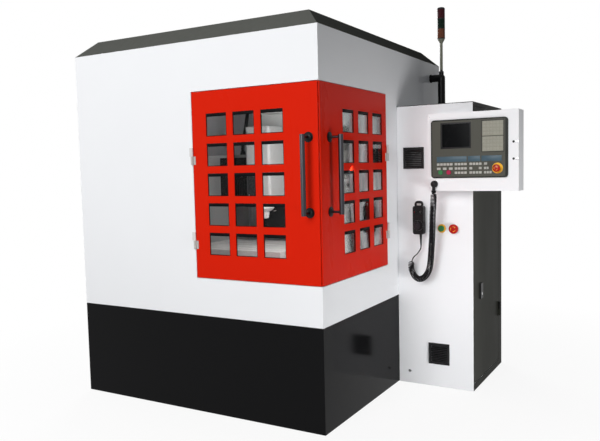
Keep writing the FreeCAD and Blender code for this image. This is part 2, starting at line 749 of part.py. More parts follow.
def pane_limits(first_window, pitch):
    """A pane's limits across and up, past its windows by the pane's edge."""
    last = f"{first_window} + win_wide + {pitch} * (win_cols - 1)"
    across = (f"{first_window} - pane_edge", f"{last} + pane_edge")
    up = ("win_low - pane_edge", "win_low + win_tall + win_rise * (win_rows - 1) + pane_edge")
    return across, up


def knuckle(name, x, y, bottom, strap, moving):
    """Half of a barrel hinge: the upper, fixed half carries the pin; the lower, moving half turns on it."""
    half = "barrel_long / 2"
    low = bottom if moving else f"{bottom} + {half}"
    high = f"{bottom} + {half} - barrel_gap" if moving else f"{bottom} + barrel_long"
    length = f"({high}) - ({low})"
    barrel = rod(f"{name}_barrel", (x, y, low), length, "barrel_diam")
    plate = box(f"{name}_strap", *strap, (low, high))
    if not moving:
        pin = rod(f"{name}_pin", (x, y, f"{bottom} + 2"), f"{high} - ({bottom}) - 2", "pin_diam")
        return fuse(name, [barrel, plate, pin])
    bore = rod(f"{name}_bore", (x, y, f"{low} - 1"), f"{length} + 2", "pin_diam + 2 * pin_play")
    return cut(name, fuse(f"{name}_solid", [barrel, plate]), [bore])


AXLE = "(barrel_diam / 2 + barrel_gap)"
FRONT_AXLE = ("-front_leaf", f"-{AXLE}")
SIDE_AXLE = (AXLE, "side_leaf")
CAB_HINGE_Y = "cab_front + cab_depth - cab_post - door_gap / 2"
CAB_AXLE = (f"cab_width + {AXLE}", CAB_HINGE_Y)
DOOR_HINGES = ("door_hinge_low", "door_hinge_high")
CAB_HINGES = ("cab_height / 5", "cab_height * 4 / 5")


def front_straps(side):
    """Limits of a front hinge's strap, on the wall (-1) or on the leaf (1)."""
    reach = "-front_leaf - strap_long" if side < 0 else "-front_leaf + strap_long"
    across = (reach, "-front_leaf") if side < 0 else ("-front_leaf", reach)
    return across, ("-strap_thick - barrel_gap", "0")


def side_straps(side):
    """Limits of a side hinge's strap, on the wall (1) or on the leaf (-1)."""
    along = ("side_leaf", "side_leaf + strap_long") if side > 0 else ("side_leaf - strap_long", "side_leaf")
    return ("0", "strap_thick + barrel_gap"), along


def cab_straps(side):
    """Limits of a cabinet hinge's strap, on the post (1) or on the door (-1)."""
    near = CAB_HINGE_Y
    along = (near, f"{near} + strap_long") if side > 0 else (f"{near} - strap_long", near)
    return ("cab_width", "cab_width + strap_thick + barrel_gap"), along


def door_hinges():
    """The fixed halves of all the hinges, on the walls and on the cabinet's post."""
    halves = []
    for number_, bottom in enumerate(DOOR_HINGES):
        halves.append(knuckle(f"front_fixed_{number_}", *FRONT_AXLE, bottom, front_straps(-1), False))
        halves.append(knuckle(f"side_fixed_{number_}", *SIDE_AXLE, bottom, side_straps(1), False))
    for number_, bottom in enumerate(CAB_HINGES):
        halves.append(knuckle(f"cab_fixed_{number_}", *CAB_AXLE, bottom, cab_straps(1), False))
    return group("door_hinges", halves)


def front_door():
    """The red front leaf with the moving halves of its hinges."""
    plan = [
        ("door_gap - front_leaf", "0"),
        ("-door_gap", "0"),
        ("-door_gap - leaf_thick", "leaf_thick"),
        ("door_gap - front_leaf", "leaf_thick"),
    ]
    free = number(world("x", "-door_gap"))
    skin = number(world("y", "0"))
    corner = lambda middle: abs(middle.x - free) < 1 and abs(middle.y - skin) < 1
    body = leaf("front_leaf_body", "XZ", plan, "-front_win", "front_pitch", ("0", "leaf_thick"), corner)
    across, up = pane_limits("-front_win", "front_pitch")
    pocket(body, "XZ", rect(across, up), "pane_set", "leaf_thick")
    halves = [
        knuckle(f"front_moving_{i}", *FRONT_AXLE, bottom, front_straps(1), True)
        for i, bottom in enumerate(DOOR_HINGES)
    ]
    return fuse("front_door", [body] + halves)


def side_door():
    """The red side leaf with the moving halves of its hinges."""
    plan = [
        ("0", "door_gap"),
        ("0", "side_leaf - door_gap"),
        ("-leaf_thick", "side_leaf - door_gap"),
        ("-leaf_thick", "door_gap + leaf_thick"),
    ]
    free = number(world("y", "door_gap"))
    skin = number(world("x", "0"))
    corner = lambda middle: abs(middle.y - free) < 1 and abs(middle.x - skin) < 1
    body = leaf("side_leaf_body", "YZ", plan, "side_win", "side_pitch", ("-leaf_thick", "0"), corner)
    across, up = pane_limits("side_win", "side_pitch")
    pocket(body, "YZ", rect(across, up), "-leaf_thick", "-pane_set")
    halves = [
        knuckle(f"side_moving_{i}", *SIDE_AXLE, bottom, side_straps(-1), True)
        for i, bottom in enumerate(DOOR_HINGES)
    ]
    return fuse("side_door", [body] + halves)


def front_pane():
    across, up = pane_limits("-front_win", "front_pitch")
    return box("front_pane", across, ("pane_set", "pane_set + pane_thick"), up)


def side_pane():
    across, up = pane_limits("side_win", "side_pitch")
    return box("side_pane", ("-pane_set - pane_thick", "-pane_set"), across, up)


def bar_handle(name, foot, bar, turn):
    """A bar handle: an upright bar on two posts with rosettes. `foot` and `bar` are (x, y)."""
    pieces = [rod(f"{name}_bar", (*bar, "handle_low"), "handle_high - handle_low", "handle_diam")]
    for place, level in (("low", "handle_low + post_inset"), ("high", "handle_high - post_inset")):
        pieces.append(rod(f"{name}_post_{place}", (*foot, level), "handle_off", "post_diam", turn))
        pieces.append(rod(f"{name}_rose_{place}", (*foot, level), "rosette_thick", "rosette_diam", turn))
    return fuse(name, pieces)


# --- machine bed, table, gantry and head ---


CELL_WIDE = "((bed_left - bed_right - rib * (cell_cols + 1)) / cell_cols)"
CELL_LONG = f"(({BED_BACK} - bed_front - rib * (cell_rows + 1)) / cell_rows)"


def levelling_feet():
    """Six pads on studs, under the crossings of the bed's inner ribs."""
    feet = []
    inset_x = f"({CELL_WIDE} + rib * 1.5)"
    inset_y = f"({CELL_LONG} + rib * 1.5)"
    for column_x in (f"{inset_x} - bed_left", f"-bed_right - {inset_x}"):
        for row_y in (f"bed_front + {inset_y}", f"(bed_front + {BED_BACK}) / 2", f"{BED_BACK} - {inset_y}"):
            name = f"foot_{len(feet)}"
            base = rod(f"{name}_base", (column_x, row_y, "0"), "foot_thick", "foot_diam")
            foot = (column_x, row_y, "foot_thick / 2")
            stud = rod(f"{name}_stud", foot, "bed_low - foot_thick / 2", "stud_diam")
            feet.append(fuse(name, [base, stud]))
    return group("levelling_feet", feet)


def machine_bed():
    """The cast bed: a block whose underside is cored into cells between ribs."""
    body = new_body("machine_bed")
    pad(body, "XY", rect(("-bed_left", "-bed_right"), ("bed_front", BED_BACK)), "bed_low", "bed_top")
    across = ("-bed_left + rib", f"-bed_left + rib + {CELL_WIDE}")
    along = ("bed_front + rib", f"bed_front + rib + {CELL_LONG}")
    cell = pocket(body, "XY", rect(across, along), "bed_low", "bed_top - bed_crown")
    repeat(body, cell, [("x", "cell_cols", f"{CELL_WIDE} + rib"), ("y", "cell_rows", f"{CELL_LONG} + rib")])
    return body


def linear_rails():
    """The table's two rails on the bed and the head's two rails on the beam."""
    rails = []
    for side, offset in (("left", "-y_rail_half"), ("right", "y_rail_half")):
        middle = f"-axis_middle + {offset}"
        across = (f"{middle} - rail_wide / 2", f"{middle} + rail_wide / 2")
        level = ("bed_top", "bed_top + rail_tall")
        rails.append(box(f"y_rail_{side}", across, ("y_rail_front", "y_rail_back"), level))
    across = ("x_end_gap + column - bed_left", "-bed_right - column - x_end_gap")
    for side, height in (("low", "x_rail_low"), ("high", "x_rail_high")):
        level = (f"{height} - rail_wide / 2", f"{height} + rail_wide / 2")
        rails.append(box(f"x_rail_{side}", across, ("gantry_front - rail_tall", "gantry_front"), level))
    return group("linear_rails", rails)


def table_carriage():
    """The carriage under the table, on four blocks that straddle the rails."""
    base = "bed_top + block_lift + block_tall"
    plate = box(
        "carriage_plate",
        ("-axis_middle - carriage_half", "-axis_middle + carriage_half"),
        ("carriage_front", "carriage_back"),
        (base, "table_low"),
    )
    pieces = [plate]
    grooves = []
    for side, offset in (("left", "-y_rail_half"), ("right", "y_rail_half")):
        middle = f"-axis_middle + {offset}"
        across = (f"{middle} - block_wide / 2", f"{middle} + block_wide / 2")
        for end, start in (("front", "carriage_front"), ("back", "carriage_back - block_long")):
            along = (start, f"{start} + block_long")
            pieces.append(box(f"y_block_{side}_{end}", across, along, ("bed_top + block_lift", base)))
        half = "(rail_wide / 2 + rail_play)"
        groove = (f"{middle} - {half}", f"{middle} + {half}")
        along = ("carriage_front - 1", "carriage_back + 1")
        level = ("bed_top", "bed_top + rail_tall + rail_play")
        grooves.append(box(f"y_groove_{side}", groove, along, level))
    return cut("table_carriage", fuse("carriage_solid", pieces), grooves)


def work_table():
    """The table: a plate with undercut slots from side to side."""
    body = new_body("work_table")
    across = ("-axis_middle - table_half", "-axis_middle + table_half")
    pad(body, "XY", rect(across, ("table_front", "table_back")), "table_low", "table_top")
    first = "((table_front + table_back - slot_pitch * (slot_count - 1)) / 2)"
    neck = "table_top - slot_neck_deep"
    head = f"{neck} - slot_head_deep"
    outline = [
        (f"{first} - slot_neck / 2", "table_top"),
        (f"{first} - slot_neck / 2", neck),
        (f"{first} - slot_head / 2", neck),
        (f"{first} - slot_head / 2", head),
        (f"{first} + slot_head / 2", head),
        (f"{first} + slot_head / 2", neck),
        (f"{first} + slot_neck / 2", neck),
        (f"{first} + slot_neck / 2", "table_top"),
    ]
    slot = pocket(body, "YZ", outline, *across)
    repeat(body, slot, [("y", "slot_count", "slot_pitch")])
    return body


def gantry():
    """The cast gantry: two columns and a beam, with rounded inner corners."""
    body = new_body("gantry")
    outline = [
        ("-bed_left", "bed_top"),
        ("column - bed_left", "bed_top"),
        ("column - bed_left", "beam_low"),
        ("-bed_right - column", "beam_low"),
        ("-bed_right - column", "bed_top"),
        ("-bed_right", "bed_top"),
        ("-bed_right", "beam_top"),
        ("-bed_left", "beam_top"),
    ]
    pad(body, "XZ", outline, "gantry_front", "gantry_back")
    low = number("beam_low")
    round_edges(body, "gantry_round", ALONG_Y, lambda middle: abs(middle.z - low) < 1)
    return body


def x_saddle():
    """The saddle on the beam's rails: its plate, its blocks, the head's blocks and the motor's shelf."""
    face = "gantry_front - block_lift - block_tall"
    front = f"{face} - saddle_thick"
    across = ("-head_middle - saddle_half", "-head_middle + saddle_half")
    pieces = [box("saddle_plate", across, (front, face), ("saddle_low", "saddle_top"))]
    grooves = []
    for level_name, height in (("low", "x_rail_low"), ("high", "x_rail_high")):
        up = (f"{height} - block_wide / 2", f"{height} + block_wide / 2")
        for side, start in (("left", across[0]), ("right", f"{across[1]} - block_long")):
            along = (start, f"{start} + block_long")
            pieces.append(box(f"x_block_{level_name}_{side}", along, (face, f"{face} + block_tall"), up))
        half = "(rail_wide / 2 + rail_play)"
        slot = (f"{height} - {half}", f"{height} + {half}")
        across_all = (f"{across[0]} - 1", f"{across[1]} + 1")
        depth = ("gantry_front - rail_tall - rail_play", "gantry_front")
        grooves.append(box(f"x_groove_{level_name}", across_all, depth, slot))
    casting_back = f"{front} - block_tall - block_lift"
    for side, offset in (("left", "-z_rail_half"), ("right", "z_rail_half")):
        middle = f"-head_middle + {offset}"
        wide = (f"{middle} - block_wide / 2 + 6", f"{middle} + block_wide / 2 - 6")
        for end, start in (("low", "z_block_low"), ("high", "z_block_high")):
            up = (start, f"{start} + block_long")
            pieces.append(box(f"z_block_{side}_{end}", wide, (f"{front} - block_tall", front), up))
        half = "(rail_wide / 2 + rail_play)"
        depth = (casting_back, f"{casting_back} + rail_tall + rail_play")
        slot = (f"{middle} - {half}", f"{middle} + {half}")
        grooves.append(box(f"z_groove_{side}", slot, depth, ("saddle_low", "saddle_top")))
    half = "motor_side / 2 + 8"
    shelf = box(
        "motor_shelf",
        (f"-head_middle - ({half})", f"-head_middle + {half}"),
        (f"{front} - motor_side - 2 * motor_gap", front),
        ("saddle_top - shelf_thick", "saddle_top"),
    )
    return cut("x_saddle", fuse("saddle_solid", pieces + [shelf]), grooves)


def z_motor():
    """The head's square motor, standing on the saddle's shelf, with a thinner flange and a round plug."""
    front = "gantry_front - block_lift - block_tall - saddle_thick"
    middle_y = f"{front} - motor_side / 2 - motor_gap"
    half = "motor_side / 2"
    across = (f"-head_middle - {half}", f"-head_middle + {half}")
    along = (f"{middle_y} - {half}", f"{middle_y} + {half}")
    flange = box("motor_flange", across, along, ("saddle_top", "saddle_top + motor_foot"))
    inner = (f"{across[0]} + motor_lip", f"{across[1]} - motor_lip")
    inner_y = (f"{along[0]} + motor_lip", f"{along[1]} - motor_lip")
    case = box("motor_case", inner, inner_y, ("saddle_top + motor_foot", "saddle_top + motor_tall"))
    plug_start = ("-head_middle", f"{along[0]} - plug_out", "saddle_top + motor_tall - plug_drop")
    plug = rod("motor_plug", plug_start, "plug_long", "plug_diam", "y")
    return fuse("z_motor", [flange, case, plug])


def z_head():
    """The head: a cast slide with a rounded front, and two rails on its back."""
    body = new_body("head_body")
    across = ("-head_middle - head_half", "-head_middle + head_half")
    back = "gantry_front - 2 * (block_lift + block_tall) - saddle_thick"
    pad(body, "XY", rect(across, ("head_front", back)), "head_low", "head_top")
    skin = number(world("y", "head_front"))
    round_edges(body, "head_round", ALONG_Z, lambda middle: abs(middle.y - skin) < 1)
    pieces = [body]
    for side, offset in (("left", "-z_rail_half"), ("right", "z_rail_half")):
        middle = f"-head_middle + {offset}"
        wide = (f"{middle} - rail_wide / 2", f"{middle} + rail_wide / 2")
        pieces.append(box(f"z_rail_{side}", wide, (back, f"{back} + rail_tall"), ("head_low", "head_top")))
    return fuse("z_head", pieces)


def spindle_housing():
    """The spindle's housing: a flange under the head, a barrel, a tapered end and the shaft's bore."""
    body = at(new_body("spindle_housing"), "-head_middle", "spindle_y", "spindle_low")
    tall = "head_low - spindle_low"
    bore = "shaft_diam / 2 + pin_play"
    points = [
        (bore, "0"),
        ("spindle_diam / 2 - 18", "0"),
        ("spindle_diam / 2", "16"),
        ("spindle_diam / 2", f"{tall} - flange_thick"),
        ("spindle_flange / 2", f"{tall} - flange_thick"),
        ("spindle_flange / 2", tall),
        ("0", tall),
        ("0", "shaft_long + 1"),
        (bore, "shaft_long + 1"),
    ]
    revolve(body, points)
    return body


def spindle_shaft():
    """The turning shaft: its nose, the collet nut and the collet's bore."""
    body = at(new_body("spindle_shaft"), "-head_middle", "spindle_y", "spindle_low", "-z")
    nut_start = "nose_long"
    points = [
        ("collet_bore / 2", "nose_long + nut_long"),
        ("collet_bore / 2", "nose_long + nut_long - collet_deep"),
        ("0", "nose_long + nut_long - collet_deep"),
        ("0", "-shaft_long"),
        ("shaft_diam / 2", "-shaft_long"),
        ("shaft_diam / 2", "0.5"),
        ("nose_diam / 2", "0.5"),
        ("nose_diam / 2", nut_start),
        ("nut_diam / 2", nut_start),
        ("nut_diam / 2", f"{nut_start} + nut_long - 7"),
        ("nut_diam / 2 - 7", f"{nut_start} + nut_long"),
    ]
    revolve(body, points)
    return body


def pleats(start, end, low, count_rise):
    """The zigzag edge of a bellows from start to end: (along, across) pairs, `count` whole pleats."""
    points = []
    count = max(2, round(abs(number(f"({end}) - ({start})")) / number("pleat")))
    for i in range(count):
        points.append((f"({start}) + (({end}) - ({start})) * {i} / {count}", low))
        points.append((f"({start}) + (({end}) - ({start})) * {2 * i + 1} / {2 * count}", f"{low} {count_rise}"))
    points.append((end, low))
    return points


def table_bellows(name, front, back):
    """A pleated cover over the table's rails."""
    body = new_body(name)
    outline = pleats(front, back, "cover_top - pleat_deep", "+ pleat_deep")
    outline = outline + [(back, "cover_low"), (front, "cover_low")]
    across = ("-axis_middle - carriage_half", "-axis_middle + carriage_half")
    pad(body, "YZ", outline, *across)
    return body


def beam_bellows(name, left, right):
    """A pleated cover before the beam's rails."""
    body = new_body(name)
    back = "gantry_front - rail_tall - 6"
    front = f"{back} - bellows_thick"
    outline = pleats(left, right, f"{front} + pleat_deep", "- pleat_deep")
    outline = outline + [(right, back), (left, back)]
    pad(body, "XY", outline, "bellows_low", "bellows_top")
    return body


# --- control cabinet ---


def cabinet_shell():
    """The cabinet: a sheet box, open to the right behind its door, with vent and button holes."""
    back = "cab_front + cab_depth"
    outer = box("cab_outer", ("cab_gap", "cab_width"), ("cab_front", back), ("0", "cab_height"))
    inner_right = "cab_width - cab_door_thick - sheet_wall - 1"
    cavity = box(
        "cab_cavity",
        ("cab_gap + sheet_wall", inner_right),
        ("cab_front + sheet_wall", f"{back} - sheet_wall"),
        ("sheet_wall", "cab_height - sheet_wall"),
    )
    recess = box(
        "cab_recess",
        ("cab_width - cab_door_thick - 1", "cab_width + 1"),
        ("cab_front + sheet_wall + 1", f"{back} - cab_post"),
        ("cab_door_low", "cab_height - cab_door_head"),
    )
    mouth = box(
        "cab_mouth",
        (f"{inner_right} - 1", "cab_width + 1"),
        ("cab_front + sheet_wall + 1 + cab_lip", f"{back} - cab_post - cab_lip"),
        ("cab_door_low + cab_lip", "cab_height - cab_door_head - cab_lip"),
    )
    holes = [cavity, recess, mouth]
    half = "(vent_side / 2 - 14)"
    for name, x, z in (("upper", "upper_vent_x", "upper_vent_z"), ("lower", "lower_vent_x", "lower_vent_z")):
        across = (f"{x} - {half}", f"{x} + {half}")
        level = (f"{z} - {half}", f"{z} + {half}")
        holes.append(box(f"{name}_vent_hole", across, ("cab_front - 1", "cab_front + sheet_wall + 1"), level))
    for name, x in (("start", "cab_start_x"), ("stop", "cab_stop_x")):
        mouth_at = (x, "cab_front - 1", "cab_button_z")
        holes.append(rod(f"{name}_hole", mouth_at, "sheet_wall + 2", "stem_diam + 2 * stem_play", "y"))
    low_hole = ("low_hole_x", "cab_front - 1", "low_hole_z")
    holes.append(rod("low_hole", low_hole, "sheet_wall + 2", "low_hole_diam", "y"))
    return cut("cabinet_shell", outer, holes)


def cabinet_door():
    """The cabinet's dark side door: a folded tray with the moving halves of its hinges."""
    body = new_body("cab_door_body")
    along = ("cab_front + sheet_wall + 1 + door_gap", "cab_front + cab_depth - cab_post - door_gap")
    up = ("cab_door_low + door_gap", "cab_height - cab_door_head - door_gap")
    pad(body, "YZ", rect(along, up), "cab_width - cab_door_thick", "cab_width")
    inside = (f"{along[0]} + sheet_wall", f"{along[1]} - sheet_wall")
    inside_up = (f"{up[0]} + sheet_wall", f"{up[1]} - sheet_wall")
    pocket(body, "YZ", rect(inside, inside_up), "cab_width - cab_door_thick", "cab_width - sheet_wall")
    halves = [
        knuckle(f"cab_moving_{i}", *CAB_AXLE, bottom, cab_straps(-1), True)
        for i, bottom in enumerate(CAB_HINGES)
    ]
    return fuse("cabinet_door", [body] + halves)


def cabinet_latch():
    """The flap handle of the cabinet's lock, hung at its upper edge."""
    start = "cab_width + 0.3"
    flap = box(
        "latch_flap",
        (start, "cab_width + latch_thick"),
        ("latch_y - latch_wide / 2", "latch_y + latch_wide / 2"),
        ("latch_low", "latch_low + latch_tall"),
    )
    grip = box(
        "latch_grip",
        ("cab_width", "cab_width + latch_thick - 4"),
        ("latch_y - latch_wide / 2 + 8", "latch_y + latch_wide / 2 - 8"),
        ("latch_low - 1", "latch_low + 22"),
    )
    return cut("cabinet_latch", flap, [grip])


def cabinet_electrics():
    """The mounting plate inside the cabinet with its drives, terminal rows and supply."""
    left = "cab_gap + sheet_wall"
    back = "cab_front + cab_depth - sheet_wall"
    along = ("cab_front + plate_inset", f"{back} - plate_inset")
    up = ("plate_low", "cab_height - plate_over")
    face = f"{left} + plate_gap + plate_thick"
    pieces = [box("mount_plate", (f"{left} + plate_gap", face), along, up)]
    inner = (f"{along[0]} + plate_edge", f"{along[1]} - plate_edge")
    for end, level in (("low", f"{up[0]} + plate_edge"), ("high", f"{up[1]} - 2 * plate_edge")):
        spacer_up = (level, f"{level} + plate_edge")
        pieces.append(box(f"spacer_{end}", (left, f"{left} + plate_gap"), inner, spacer_up))
    for i in range(4):
        start = f"{inner[0]} + {i} * drive_pitch"
        across = (face, f"{face} + drive_deep")
        drive_up = ("drive_low", "drive_low + drive_tall")
        pieces.append(box(f"drive_{i}", across, (start, f"{start} + drive_wide"), drive_up))
    for row, level in (("upper", "terminals_high"), ("lower", "terminals_low")):
        across = (face, f"{face} + terminals_deep")
        pieces.append(box(f"terminals_{row}", across, inner, (level, f"{level} + terminals_tall")))
    across = (face, f"{face} + supply_deep")
    start = f"{inner[0]} + plate_edge"
    supply_up = ("supply_low", "supply_low + supply_tall")
    pieces.append(box("supply", across, (start, f"{start} + supply_wide"), supply_up))
    return fuse("cabinet_electrics", pieces)


def vent(name, x, z):
    """A square vent grille with a row of flat slots."""
    body = new_body(name)
    half = "vent_side / 2"
    across = (f"{x} - {half}", f"{x} + {half}")
    pad(body, "XZ", rect(across, (f"{z} - {half}", f"{z} + {half}")), "cab_front - vent_thick", "cab_front")
    pitch = "((vent_side - 30) / vent_slots)"
    low = f"{z} - {half} + 15 + ({pitch} - vent_bar) / 2"
    slot_across = (f"{across[0]} + 14", f"{across[1]} - 14")
    outline = rect(slot_across, (low, f"{low} + vent_bar"))
    slot = pocket(body, "XZ", outline, "cab_front - vent_thick", "cab_front")
    repeat(body, slot, [("z", "vent_slots", pitch)])
    return body


def vent_grilles():
    """The cabinet's two identical grilles."""
    upper = vent("upper_vent", "upper_vent_x", "upper_vent_z")
    lower = vent("lower_vent", "lower_vent_x", "lower_vent_z")
    return group("vent_grilles", [upper, lower])


# --- operator panel ---


def operator_box():
    """The closed operator box on the cabinet's front, overhanging it to the right."""
    right = "box_left + box_wide"
    top = "box_low + box_tall"
    front = "cab_front - box_deep"
    outer = box("box_outer", ("box_left", right), (front, "cab_front"), ("box_low", top))
    hollow = box(
        "box_hollow",
        ("box_left + sheet_wall", f"{right} - sheet_wall"),
        (f"{front} + sheet_wall", "cab_front - sheet_wall"),
        ("box_low + sheet_wall", f"{top} - sheet_wall"),
    )
    holes = [hollow]
    for name, x, z in BUTTON_HOLES:
        start = (x, f"{front} - 1", z)
        holes.append(rod(f"box_hole_{name}", start, "sheet_wall + 2", "stem_diam + 2 * stem_play", "y"))
    return cut("operator_box", outer, holes)


BUTTON_HOLES = (("stop", "stop_x", "stop_z"), ("start", "start_x", "start_z"), ("hold", "hold_x", "start_z"))
BOX_FRONT = "(cab_front - box_deep)"
BEZEL_FRONT = f"({BOX_FRONT} - bezel_thick)"
CAB_START = ("cab_start_x", "cab_front", "cab_button_z")


def panel_bezel():
    """The controller's frame: a rounded plate with a recess for the screen and the buttons' holes."""
    body = new_body("panel_bezel")
    across = ("bezel_left", "bezel_left + bezel_wide")
    pad(body, "XZ", rect(across, ("bezel_low", "bezel_low + bezel_tall")), BEZEL_FRONT, BOX_FRONT)
    round_edges(body, "bezel_round", ALONG_Y)
    across = ("screen_left", "screen_left + screen_wide")
    up = ("screen_low", "screen_low + screen_tall")
    pocket(body, "XZ", rect(across, up), BEZEL_FRONT, f"{BEZEL_FRONT} + screen_sunk + 2")
    for name, x, z in BUTTON_HOLES:
        pocket(body, "XZ", (x, z, "stem_diam / 2 + stem_play"), BEZEL_FRONT, BOX_FRONT)
    return body


def panel_screen():
    """The screen, sunk in the controller's frame."""
    return box(
        "panel_screen",
        ("screen_left", "screen_left + screen_wide"),
        (f"{BEZEL_FRONT} + screen_sunk", f"{BEZEL_FRONT} + screen_sunk + 2"),
        ("screen_low", "screen_low + screen_tall"),
    )


def panel_keypad():
    """The light keypad in two halves."""
    halves = []
    middle = "keypad_low + keypad_tall / 2"
    lower = ("keypad_low", f"{middle} - keypad_split / 2")
    upper = (f"{middle} + keypad_split / 2", "keypad_low + keypad_tall")
    for i, up in enumerate((lower, upper)):
        across = ("keypad_left", "keypad_left + keypad_wide")
        halves.append(box(f"keypad_{i}", across, (f"{BEZEL_FRONT} - keypad_thick", BEZEL_FRONT), up))
    return group("panel_keypad", halves)


def ring(name, x, face, z, outer, thick):
    """A button's collar on a face that looks to the front."""
    solid = rod(f"{name}_disc", (x, f"{face} - {thick}", z), thick, outer, "y")
    bore_start = (x, f"{face} - {thick} - 1", z)
    bore = rod(f"{name}_bore", bore_start, f"{thick} + 2", "stem_diam + 2 * stem_play", "y")
    return cut(name, solid, [bore])


def button_collars():
    """The collars round the two stop buttons and the cabinet's start button."""
    pieces = [
        ring("collar_panel_stop", "stop_x", BEZEL_FRONT, "stop_z", "collar_diam", "collar_thick"),
        ring("collar_cab_stop", "cab_stop_x", "cab_front", "cab_button_z", "cab_stop_collar", "collar_thick"),
        ring("collar_cab_start", *CAB_START, "cab_start_collar", "collar_thick"),
    ]
    return group("button_collars", pieces)


def mushroom(name, x, face, z, diameter, neck):
    """A stop button: a domed head with a neck on a stem, above its collar by the travel."""
    body = at(new_body(name), x, face, z, "-y")
    foot = "collar_thick + stop_travel + 0.5"
    head = f"{foot} + {neck}"
    points = [
        ("0", "-2"),
        ("stem_diam / 2", "-2"),
        ("stem_diam / 2", foot),
        (f"{diameter} * 0.36", foot),
        (f"{diameter} * 0.36", head),
        (f"{diameter} / 2 - 3", head),
        (f"{diameter} / 2", f"{head} + 3"),
        (f"{diameter} / 2", f"{head} + 10"),
        (f"{diameter} / 2 - 5", f"{head} + 15"),
        ("0", f"{head} + 17"),
    ]
    revolve(body, points)
    return body


def push_button(name, x, face, z, diameter, foot, tall):
    """A flat push button on a stem."""
    body = at(new_body(name), x, face, z, "-y")
    start = f"{foot} + key_travel + 0.5"
    points = [
        ("0", "-2"),
        ("stem_diam / 2", "-2"),
        ("stem_diam / 2", start),
        (f"{diameter} / 2", start),
        (f"{diameter} / 2", f"{start} + {tall} - 2"),
        (f"{diameter} / 2 - 2", f"{start} + {tall}"),
        ("0", f"{start} + {tall}"),
    ]
    revolve(body, points)
    return body


# --- hanging pendant and its cord ---


def pendant_body():
    """The pendant: a rounded box, a wide loop above to hang it by and a long tapered boot below."""
    body = new_body("pendant_box")
    across = ("pend_x - pend_wide / 2", "pend_x + pend_wide / 2")
    depth = ("pend_front", "pend_front + pend_thick")
    pad(body, "XZ", rect(across, ("pend_low", "pend_low + pend_tall")), *depth)
    round_edges(body, "pend_round", ALONG_Y)
    middle = "pend_front + pend_thick / 2"
    loop = new_body("pend_loop")
    depth = (f"{middle} - loop_thick / 2", f"{middle} + loop_thick / 2")
    across = ("pend_x - loop_wide / 2", "pend_x + loop_wide / 2")
    pad(loop, "XZ", rect(across, ("pend_low + pend_tall - loop_foot", "loop_z + loop_rise")), *depth)
    round_edges(loop, "loop_round", ALONG_Y)
    hole = new_body("pend_hole")
    across = ("pend_x - hole_wide / 2", "pend_x + hole_wide / 2")
    up = ("loop_z - hole_tall / 2", "loop_z + hole_tall / 2")
    pad(hole, "XZ", rect(across, up), f"{depth[0]} - 1", f"{depth[1]} + 1")
    round_edges(hole, "hole_tall * 0.45", ALONG_Y)
    foot = ("pend_x + boot_off", middle, "boot_z")
    boot = cone("pend_boot", foot, "pend_low - boot_z + 4", "boot_end", "boot_root")
    return cut("pendant_body", fuse("pendant_solid", [body, loop, boot]), [hole])


def pendant_hook():
    """The peg on the cabinet that the pendant hangs from, with its round foot."""
    middle = "pend_front + pend_thick / 2"
    level = "loop_z + hole_tall / 2 - peg_diam / 2 - 0.3"
    tip = f"({middle} - loop_thick)"
    peg = rod("hook_peg", ("pend_x", tip, level), f"cab_front - {tip}", "peg_diam", "y")
    foot = rod("hook_foot", ("pend_x", "cab_front - 5", level), "5", "peg_foot", "y")
    return fuse("pendant_hook", [peg, foot])


def handwheel():
    """The pendant's handwheel: a knurled-edge disc with a small crank knob."""
    body = at(new_body("wheel_body"), "pend_x", "pend_front", "wheel_z", "-y")
    points = [
        ("0", "wheel_gap"),
        ("wheel_diam / 2 - 2", "wheel_gap"),
        ("wheel_diam / 2", "wheel_gap + 2"),
        ("wheel_diam / 2", "wheel_gap + wheel_thick - 3"),
        ("wheel_diam / 2 - 3", "wheel_gap + wheel_thick"),
        ("0", "wheel_gap + wheel_thick"),
    ]
    revolve(body, points)
    start = "pend_front - wheel_gap - wheel_thick + 1"
    knob = cone("wheel_knob", ("pend_x", start, "wheel_z + wheel_diam / 2 - 10"), "15", "9", "13", "-y")
    return fuse("handwheel", [body, knob])


def knob(name, x):
    """A pointer knob of the pendant."""
    disc = rod(f"{name}_disc", (x, "pend_front - wheel_gap", "knob_z"), "4", "knob_diam", "-y")
    grip = box(
        f"{name}_grip",
        (f"{x} - 3.5", f"{x} + 3.5"),
        ("pend_front - wheel_gap - knob_tall", "pend_front - wheel_gap - 3"),
        ("knob_z - knob_diam / 2 + 1", "knob_z + knob_diam / 2 - 1"),
    )
    return fuse(name, [disc, grip])


